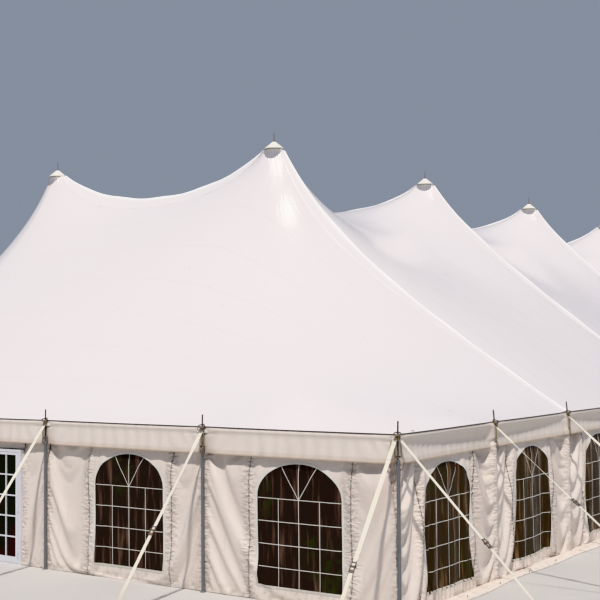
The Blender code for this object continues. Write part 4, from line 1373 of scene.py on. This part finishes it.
def valance_places(side, left, right, kind, flip, along, height):
    """Places of the valance, tied back at its poles and rolled at its top."""
    middle, width = (left + right) / 2, right - left
    slack = kind == "swag"
    share = np.clip((VALANCE_TOP - height) / DROP, 0, 1)
    moves = read_table(HUNG[kind], (along - middle) / width * flip + 0.5, (height - VALANCE_LOW) / DROP)
    from_left, from_right = along - left, right - along
    from_pole = np.minimum(from_left, from_right)
    ties = tie_at(side, left), tie_at(side, right)
    tied_left = ties[0] * ease(from_left, TIE_WIDTH, 0.02)
    tied_right = ties[1] * ease(from_right, TIE_WIDTH, 0.02)
    free = 1 - np.maximum(tied_left, tied_right)
    nearer, tie = np.where(along < middle, left, right), np.where(along < middle, *ties)
    drawn = tie * np.sin((along - nearer) * 62 + 3 * nearer) * np.exp(-from_pole / 0.16)
    if slack:
        belly = belly_of(share, from_left if ties[0] > ties[1] else from_right) * free
        flare, drawn = SLACK_FLARE * ease(share, 0.45, 1.1), SLACK_DRAWN * drawn
    else:
        belly, flare, drawn = 0.0, TIED_FLARE * share, TIED_DRAWN * drawn
    lean = 0.008 + 0.0245 * share * (1 - free) - flare * free
    roll = -0.016 * bump(height - ROLL_HEIGHT, 0.032) * free
    pinch = 0.016 * tie * bump(from_pole, 0.20) * bump(height - PINCH_HEIGHT, 0.017)
    depth = lean + belly + moves[..., 1] * free + roll + pinch + drawn * share
    limit = np.where(height < POLE_TOP, BEHIND_POLE, BEHIND_PIN) - 0.08 * free
    depth = larger(depth, limit, 0.006)
    depth = HINDMOST - larger(HINDMOST - depth, 0.0, 0.006)
    if slack:
        cover = covered(left, right, along) * np.maximum(tie, ease(height, 2.12, 2.20))
        over_pole = -0.050 + 0.024 * ease(height, 2.12, 2.18) + 0.024 * ease(height, 2.38, VALANCE_TOP)
        depth = depth * (1 - cover) + (over_pole + 0.5 * drawn) * cover
    settled = np.minimum(height + moves[..., 2], VALANCE_TOP)
    return on_side(side, along + moves[..., 0] * flip * free, depth, settled)


def valance(name, side, poles, kind):
    """The valance over a run of bays."""
    up = np.concatenate([np.linspace(VALANCE_LOW, 2.30, 10)[:-1], np.linspace(2.30, VALANCE_TOP, 12)])
    mesh = bmesh.new()
    hem = mesh.verts.layers.float.new("hem")
    rust = mesh.verts.layers.float.new("rust")
    limit = (HALF_WIDTH if side in ENDS else HALF_LENGTH) - 0.012
    for number, (left, right) in enumerate(zip(poles, poles[1:])):
        flat_x, flat_z = np.meshgrid(np.linspace(left, right, VALANCE_STEPS + 1), up)
        flip = 1 if number % 3 else -1
        shown_x = np.clip(flat_x, -limit, limit)
        places = valance_places(side, left, right, kind, flip, shown_x, flat_z)
        verts = add_grid(mesh, VALANCE_STEPS, len(up) - 1, places)
        from_pole = np.minimum(flat_x - left, right - flat_x).ravel()
        for vertex, away, height in zip(verts, from_pole, flat_z.ravel()):
            vertex[hem] = 1.0 if height < HEM_TOP else (0.25 if height < HEM_FADE else 0.0)
            vertex[rust] = bump(away, 0.035) * (0.9 if 2.08 < height < 2.42 else 0.2)
    bmesh.ops.remove_doubles(mesh, verts=mesh.verts, dist=CLOTH_MERGE)
    piece = finished(name, mesh, VALANCE, "valance_fabric", f"valance_{side}")
    length = poles[-1] - poles[0]
    cut_from(piece, length, length * VALANCE_CUT_HEIGHT, "hung")


for side in ENDS:
    valance(f"valance_cloth_{side}", side, END_POLES, "wave")
for side in LONG_SIDES:
    valance(f"valance_cloth_{side}_first", side, LONG_POLES[:6], "swag")
    valance(f"valance_cloth_{side}_second", side, LONG_POLES[5:], "swag")
print("valance hung on four sides")

# %% [markdown]
# ## Side poles and their tackle
# Each side pole is a tube with a socket at its head and a pin that goes up through the roof's edge.
# Pins bend in use, so each leans its own way. At the pin sit a rusty ring, a few turns of rope and
# a loose tail. The small parts are built once and stamped at every pole.

# %% Poles, pins and the eave cable
POLE_SHAPE = (
    (0.0, 0.0), (0.044, 0.0), (0.045, 0.006), (0.028, 0.008), (0.0245, 0.012), (0.0245, 2.046),
    (0.0295, 2.050), (0.0300, 2.054), (0.0300, 2.104), (0.0270, 2.110), (0.008, 2.112), (0.0, 2.112))
BOLT_SHAPE = (
    (0.0, -0.042), (0.007, -0.042), (0.008, -0.036), (0.005, -0.034), (0.005, 0.034), (0.008, 0.036),
    (0.007, 0.042), (0.0, 0.042))
BOLT_HEIGHT = 2.082
PIN_RADIUS = 0.0108
PIN_HEIGHTS = np.array((2.10, 2.30, 2.44, 2.50, 2.56, 2.60, 2.628))
PIN_BEND = np.clip((PIN_HEIGHTS - 2.46) / 0.17, 0, 1) ** 1.5
PIN_LEAN = 0.022
CABLE_HEIGHT = 2.446
CABLE_RADIUS = 0.0085
tube_shape = pattern(add_turned, POLE_SHAPE)
bolt_shape = pattern(add_turned, BOLT_SHAPE, 8)
for side, poles in SIDE_POLES.items():
    tubes, pins, cable = bmesh.new(), bmesh.new(), bmesh.new()
    for along in own_poles(side):
        stamp(tubes, tube_shape, side_matrix(side, along, 0.0, 0.0))
        bolt_place = side_matrix(side, along, 0.0, BOLT_HEIGHT) @ Matrix.Rotation(math.pi / 2, 4, "X")
        stamp(pins, bolt_shape, bolt_place)
        lean = CHANCE.uniform(-PIN_LEAN, PIN_LEAN, 2)
        path = on_side(side, along + lean[0] * PIN_BEND, lean[1] * PIN_BEND, PIN_HEIGHTS)
        add_sweep(pins, path, round_section(PIN_RADIUS))
    finished(
        f"side_pole_tubes_{side}", tubes, ALUMINIUM, "aluminium_pole", f"side_poles_{side}", crease=35)
    finished(f"side_pole_pins_{side}", pins, CABLE, "aluminium_pole", crease=40)
    along = np.linspace(poles[0], poles[-1], 12 * (len(poles) - 1) + 1)
    away = np.min([np.abs(along - pole) for pole in poles], axis=0)
    path = on_side(side, along, 0.0135 * ease(away, 0.4, 0.0), CABLE_HEIGHT - 0.002 * away)
    add_sweep(cable, path, round_section(CABLE_RADIUS, 6))
    finished(f"eave_cable_{side}", cable, CABLE, "aluminium_pole")

# %% Rings and rope at each pin
def add_loop(mesh, radius, count, tilt, thick, height=0.0, shift=(0.0, 0.0)):
    """A closed loop of wire or rope round the upright axis, tilted a little."""
    turn = np.linspace(0, math.tau, count + 1)
    x, y = radius * np.cos(turn), radius * np.sin(turn)
    path = np.stack([x + shift[0], y + shift[1], height + y * tilt], axis=1)
    add_sweep(mesh, path, round_section(thick, 6), ring=True)


def build_ring(mesh):
    add_loop(mesh, 0.030, 18, 0.35, 0.0052, 0.0, (0.0, -0.024))
    add_loop(mesh, 0.017, 14, -0.6, 0.0048, -0.028, (0.006, -0.016))


ROPE_TURNS = ((0.012, 0.017, 0.25), (0.002, 0.019, -0.3), (-0.009, 0.018, 0.4), (-0.020, 0.020, -0.2))
ROPE_TAIL = (
    (0.014, -0.014, -0.010), (0.020, -0.024, -0.045), (0.010, -0.026, -0.10),
    (0.016, -0.022, -0.16), (0.004, -0.034, -0.215), (0.010, -0.036, -0.25))
ROPE_BIGHT = (
    (-0.010, -0.014, 0.0), (-0.030, -0.026, 0.016), (-0.040, -0.024, -0.010),
    (-0.022, -0.022, -0.030), (0.0, -0.018, -0.012))


def build_rope(mesh):
    """A few turns round the pin, a loose tail and a bight."""
    for height, radius, tilt in ROPE_TURNS:
        add_loop(mesh, radius, 14, tilt, 0.0048, height)
    add_sweep(mesh, ROPE_TAIL, round_section(0.0042, 6))
    add_sweep(mesh, ROPE_BIGHT, round_section(0.0045, 6))


def build_shackle(mesh):
    add_loop(mesh, 0.034, 16, 0.15, 0.0055)
    add_loop(mesh, 0.033, 16, -0.25, 0.0045, 0.018)


BIGGER = Matrix.Diagonal((1.6, 1.6, 1.6, 1.0))
RING_AT, ROPE_AT, SHACKLE_AT = 2.462, 2.428, 2.145
ring_shape, rope_shape, shackle_shape = pattern(build_ring), pattern(build_rope), pattern(build_shackle)
for side in SIDE_POLES:
    iron, rope = bmesh.new(), bmesh.new()
    for number, along in enumerate(own_poles(side)):
        turn = Matrix.Rotation(0.5 * math.sin(3.0 * number + along), 4, "Z")
        mirror = Matrix.Diagonal((1 if number % 2 else -1, 1, 1, 1))
        stamp(iron, ring_shape, side_matrix(side, along, 0.0, RING_AT) @ turn @ BIGGER)
        stamp(iron, shackle_shape, side_matrix(side, along, -0.002, SHACKLE_AT) @ turn)
        stamp(rope, rope_shape, side_matrix(side, along, 0.0, ROPE_AT) @ mirror @ turn @ BIGGER)
    bmesh.ops.recalc_face_normals(rope, faces=rope.faces)
    finished(f"eave_rings_{side}", iron, STEEL, "aluminium_pole")
    finished(f"eave_lashings_{side}", rope, ROPE, "guy_webbing")
print("tackle at", sum(len(own_poles(side)) for side in SIDE_POLES), "poles")

# %% [markdown]
# ## Guys
# Every pole is guyed with a ratchet strap. The strap is doubled near the eave, runs down to the
# ratchet, and goes on to a hook on its ground stake. It is swept along its line with a slight
# twist, as real webbing has.

# %% Ratchet, hook and stake
def build_ratchet(mesh):
    """X across the strap, Y down along it and Z outwards."""
    for side in (-1, 1):
        cheek, lever = side * 0.030, side * 0.034
        add_block(mesh, (cheek - 0.002, -0.070, -0.004), (cheek + 0.002, 0.070, 0.017), 0.0015)
        add_block(mesh, (lever - 0.0018, -0.020, -0.002), (lever + 0.0018, 0.085, 0.021), 0.0015)
    add_block(mesh, (-0.034, 0.068, 0.008), (0.034, 0.086, 0.021))
    add_block(mesh, (-0.020, 0.058, 0.019), (0.020, 0.066, 0.030), 0.002)
    for y, radius in ((0.0, 0.011), (-0.055, 0.006), (0.050, 0.006)):
        axle = [(x, y, 0.006) for x in (-0.037, 0.0, 0.037)]
        add_sweep(mesh, axle, round_section(radius, 10))
    for side in (-1, 1):
        wheel = [(side * x, 0.0, 0.006) for x in (0.036, 0.040, 0.0405)]
        add_sweep(mesh, wheel, round_section(0.019, 12))


HOOK_WIRE = (
    (-0.022, -0.03, 0.0), (-0.022, 0.0, 0.0), (-0.012, 0.035, 0.0), (0.0, 0.045, 0.0),
    (0.012, 0.035, 0.0), (0.022, 0.0, 0.0), (0.022, -0.03, 0.0), (0.0, -0.033, 0.0),
    (-0.022, -0.03, 0.0))


def build_hook(mesh):
    """The wire loop that joins the strap to its stake, from the strap's end on."""
    add_sweep(mesh, HOOK_WIRE, round_section(0.004, 6), ring=True)


STAKE_SHAPE = (
    (0.0, 0.0), (0.012, 0.0), (0.0125, 0.10), (0.020, 0.104), (0.022, 0.116), (0.017, 0.126),
    (0.0, 0.129))
ratchet_shape, hook_shape = pattern(build_ratchet), pattern(build_hook)
stake_shape = pattern(add_turned, STAKE_SHAPE, 12)

# %% Straps
GUY_TOP = 2.385
GUY_FOOT = 0.075
CORNER_SET = 0.032
END_GUYS = (1.95, 1.72, 1.06)
LONG_GUYS = (2.75, 2.30, 1.30)
MAIN_STRAP = flat_section(0.060, 0.003)
DOUBLED_STRAP = flat_section(0.066, 0.005)
STRAP_TAIL = flat_section(0.054, 0.003)
EAVE_BAND = flat_section(0.050, 0.003)


def add_guy(webbing, iron, side, number, lead):
    """One guy: its strap, doubled part and tail, and its ratchet, hook and stake."""
    poles = SIDE_POLES[side]
    pole = poles[number]
    reach, corner_reach, ratchet_height = END_GUYS if side in ENDS else LONG_GUYS
    corner = number in (0, len(poles) - 1)
    along = pole - math.copysign(CORNER_SET, pole) if corner else pole
    run = corner_reach if corner else reach
    share = np.linspace(0, 1, 25)
    path = on_side(
        side, along, -0.0100 - (run - 0.045) * share, GUY_TOP + (GUY_FOOT - GUY_TOP) * share)
    span = path[-1] - path[0]
    ratchet_share = (GUY_TOP - ratchet_height + 0.18 * corner) / (GUY_TOP - GUY_FOOT)
    turning = 0.35 * math.sin(2.3 * number + poles[0])
    twist = turning * np.sin(math.pi * np.clip(share / ratchet_share, 0, 1)) ** 2
    add_sweep(webbing, path, MAIN_STRAP, twist=twist, lead=lead)
    down = Vector(span).normalized()
    out = Vector(lead).cross(down)
    out = out if out.z > 0 else -out
    basis = Matrix((down.cross(out), down, out)).transposed().to_4x4()
    doubled = path[0] + span * np.linspace(0.008, 0.11, 5)[:, None] + np.array(out) * 0.004
    add_sweep(webbing, doubled, DOUBLED_STRAP, lead=lead)
    tail_share = np.linspace(ratchet_share + 0.02, ratchet_share + 0.16, 6)[:, None]
    add_sweep(webbing, path[0] + span * tail_share + np.array(out) * 0.006, STRAP_TAIL, lead=lead)
    stamp(iron, ratchet_shape, Matrix.Translation(path[0] + span * ratchet_share) @ basis)
    stamp(iron, hook_shape, Matrix.Translation(path[-1]) @ basis)
    stake_lean = Matrix.Rotation(0.10 * math.sin(number * 2.1), 4, "X")
    stamp(iron, stake_shape, side_matrix(side, along, -run, 0.0) @ stake_lean)


for side in ("front", "back", "left", "right"):
    poles = SIDE_POLES[side]
    webbing, iron, edge = bmesh.new(), bmesh.new(), bmesh.new()
    lead = on_side(side, 1.0, 0.0, 0.0) - on_side(side, 0.0, 0.0, 0.0)
    for number in range(len(poles)):
        add_guy(webbing, iron, side, number, lead)
    stitched = np.linspace(poles[0], poles[-1], 64 * (len(poles) - 1) + 1)
    away = np.min([np.abs(stitched - pole) for pole in poles], axis=0)
    sway = -0.0093 + 0.0223 * ease(away, 0.03, 0.10)
    add_sweep(edge, on_side(side, stitched, sway, GUY_TOP), EAVE_BAND, lead=lead)
    finished(f"guy_straps_{side}", webbing, WEBBING, "guy_webbing", f"guys_{side}", crease=40)
    finished(f"guy_ironwork_{side}", iron, STEEL, "guy_webbing", f"guys_{side}", crease=35)
    finished(f"eave_band_{side}", edge, STRIP, "guy_webbing", f"guys_{side}", crease=40)
    print("guys", side, len(poles))

# %% [markdown]
# ## Ground flaps
# Along the sides the wall ends in a flap that lies on the ground, held by small pegs. It is thin
# and rumpled, so it is a grid with waves that die out at the wall.

# %% Ground flaps and pegs
PEG_SHAPE = ((0, 0), (0.005, 0), (0.005, 0.03), (0.011, 0.032), (0.011, 0.037), (0, 0.039))
GROUND_FLAP_END = 15.85
GROUND_FLAP_CUT = 16.2
peg_shape = pattern(add_turned, PEG_SHAPE, 8)
for side in LONG_SIDES:
    pegs = bmesh.new()
    for half, (start, end) in enumerate(((-GROUND_FLAP_END, 0.0), (0.0, GROUND_FLAP_END)), 1):
        along, share = np.meshgrid(np.linspace(start, end, 265), np.linspace(0, 1, 8))
        width = 0.20 + 0.05 * np.sin(1.9 * along) * np.sin(0.7 * along + 1)
        rumple = np.sin(11 * along + 3 * np.sin(2.3 * along)) * np.sin(4.1 * along + 5 * share)
        height = 0.006 + 0.045 * (0.5 + 0.5 * rumple) * np.sin(math.pi * share) + 0.02 * (1 - share) ** 3
        mesh = bmesh.new()
        add_grid(mesh, 264, 7, on_side(side, along, 0.03 - (width + 0.03) * share, height))
        face_up(mesh)
        flap = finished(f"ground_flap_{side}_{half}", mesh, WALL, "wall_fabric")
        cut_from(flap, GROUND_FLAP_CUT, area_of(flap), "laid")
    for along in np.arange(-15.3, 15.4, 1.1):
        stamp(pegs, peg_shape, side_matrix(side, along, -0.15, 0.004) @ Matrix.Rotation(0.2, 4, "Y"))
    finished(f"ground_pegs_{side}", pegs, CABLE, "guy_webbing", crease=40)
print("ground flaps:", 2 * len(LONG_SIDES))

# %% [markdown]
# ## The door
# The joinery of the door is hard and square, and the frame's own solids already have its panes and
# hinges, so it keeps them and takes the paint and glass. Both leaves get lever handles, and glazing
# bars on their inner face, which shows when they stand open.

# %% Door finishes, handles and inner bars
for name in ("door_frame", "door_leaf_left", "door_leaf_right"):
    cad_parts[name].data.materials[0] = PAINT
for name in ("door_glass_left", "door_glass_right"):
    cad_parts[name].data.materials[0] = GLASS
HANDLE_HEIGHT = 1.02
LEVER_OUT = 0.045
LEAF_FACES = ((-15.9024, -1), (-15.8624, 1))
PANES = ((0, 3), (2, 5))
LEVERS = (("left", 1.238, -1), ("right", 1.312, 1))
BAR_WIDE = 0.022


def add_handle(mesh, x, side, face, out):
    """A plate and a lever on one face of a leaf."""
    near, far = sorted((face, face + out * 0.006))
    low, high = (x - 0.016, near, HANDLE_HEIGHT - 0.10), (x + 0.016, far, HANDLE_HEIGHT + 0.06)
    add_block(mesh, low, high, 0.002)
    grip = face + out * LEVER_OUT
    lever = [
        (x, face, HANDLE_HEIGHT), (x, grip - out * 0.012, HANDLE_HEIGHT),
        (x + side * 0.012, grip, HANDLE_HEIGHT), (x + side * 0.05, grip, HANDLE_HEIGHT - 0.001),
        (x + side * 0.105, grip, HANDLE_HEIGHT - 0.003)]
    add_sweep(mesh, lever, round_section(0.008, 10))


def add_inner_bars(mesh, leaf, glass):
    """Bars between the glass and the inner face of a leaf, in line with the outer ones."""
    low, high = glass
    back = leaf[1].y
    size = [(high[axis] - low[axis] + BAR_WIDE) / count for axis, count in PANES]
    for column in (1, 2):
        left = low.x + column * size[0] - BAR_WIDE
        add_block(mesh, (left, high.y, low.z), (left + BAR_WIDE, back - 0.001, high.z), 0.002)
    for row in (1, 2, 3, 4):
        foot = low.z + row * size[1] - BAR_WIDE
        add_block(mesh, (low.x, high.y, foot), (high.x, back - 0.002, foot + BAR_WIDE), 0.002)


for name, x, side in LEVERS:
    handles, bars = bmesh.new(), bmesh.new()
    body = f"{name}_leaf"
    for face, out in LEAF_FACES:
        add_handle(handles, x, side, face, out)
    finished(f"door_handle_{body}", handles, STEEL, "door_paint", crease=40, body=body)
    add_inner_bars(bars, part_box(f"door_leaf_{name}"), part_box(f"door_glass_{name}"))
    finished(f"door_inner_bars_{body}", bars, PAINT, "door_paint", crease=40, body=body)
print("door dressed")

# %% [markdown]
# ## Floor and light
# The tent stands on a plain pale floor. The key light comes from the front and above, where the sun
# stood, a weaker one overhead gives the sheen below the peaks, and a pale sky fills the shade. White
# cloth needs a view that keeps its cream and rolls off only near white, so that is set here too.

# %% Floor, key light and sky
LIGHTS = {"key": ((0.24, -0.47, 0.85), 2.4, 2), "overhead": ((0.205, -0.08, 0.976), 0.85, 5)}
WARM = (1.0, 0.95, 0.90)
SKY = {"Color": rgb(0.56, 0.63, 0.77), "Strength": 0.46}
FLOOR_REACH = 150


def floor_finish():
    finish = Finish("pale_floor")
    tone = finish.mix(finish.noise(0.5, 3.0), rgb(0.52, 0.50, 0.48), rgb(0.57, 0.55, 0.53))
    return finish.closed(tone, 0.8, finish.noise(30.0, 3.0), 0.003, 0.4)


mesh = bmesh.new()
bmesh.ops.create_grid(mesh, x_segments=8, y_segments=8, size=FLOOR_REACH)
data = bpy.data.meshes.new("floor")
mesh.to_mesh(data)
mesh.free()
data.materials.append(floor_finish())
floor = bpy.data.objects.new("floor", data)
STAGE.collection.objects.link(floor)
for name, (towards, energy, spread) in LIGHTS.items():
    light = bpy.data.lights.new(name, "SUN")
    light.energy = energy
    light.angle = math.radians(spread)
    light.color = WARM
    lamp = bpy.data.objects.new(name, light)
    STAGE.collection.objects.link(lamp)
    lamp.rotation_euler = Vector(towards).to_track_quat("Z", "Y").to_euler()
sky = bpy.data.worlds.new("studio")
STAGE.world = sky
sky.use_nodes = True
for socket, value in SKY.items():
    sky.node_tree.nodes["Background"].inputs[socket].default_value = value
STAGE.view_settings.view_transform = "Khronos PBR Neutral"
STAGE.view_settings.exposure = 0.1
print("lights:", list(LIGHTS))
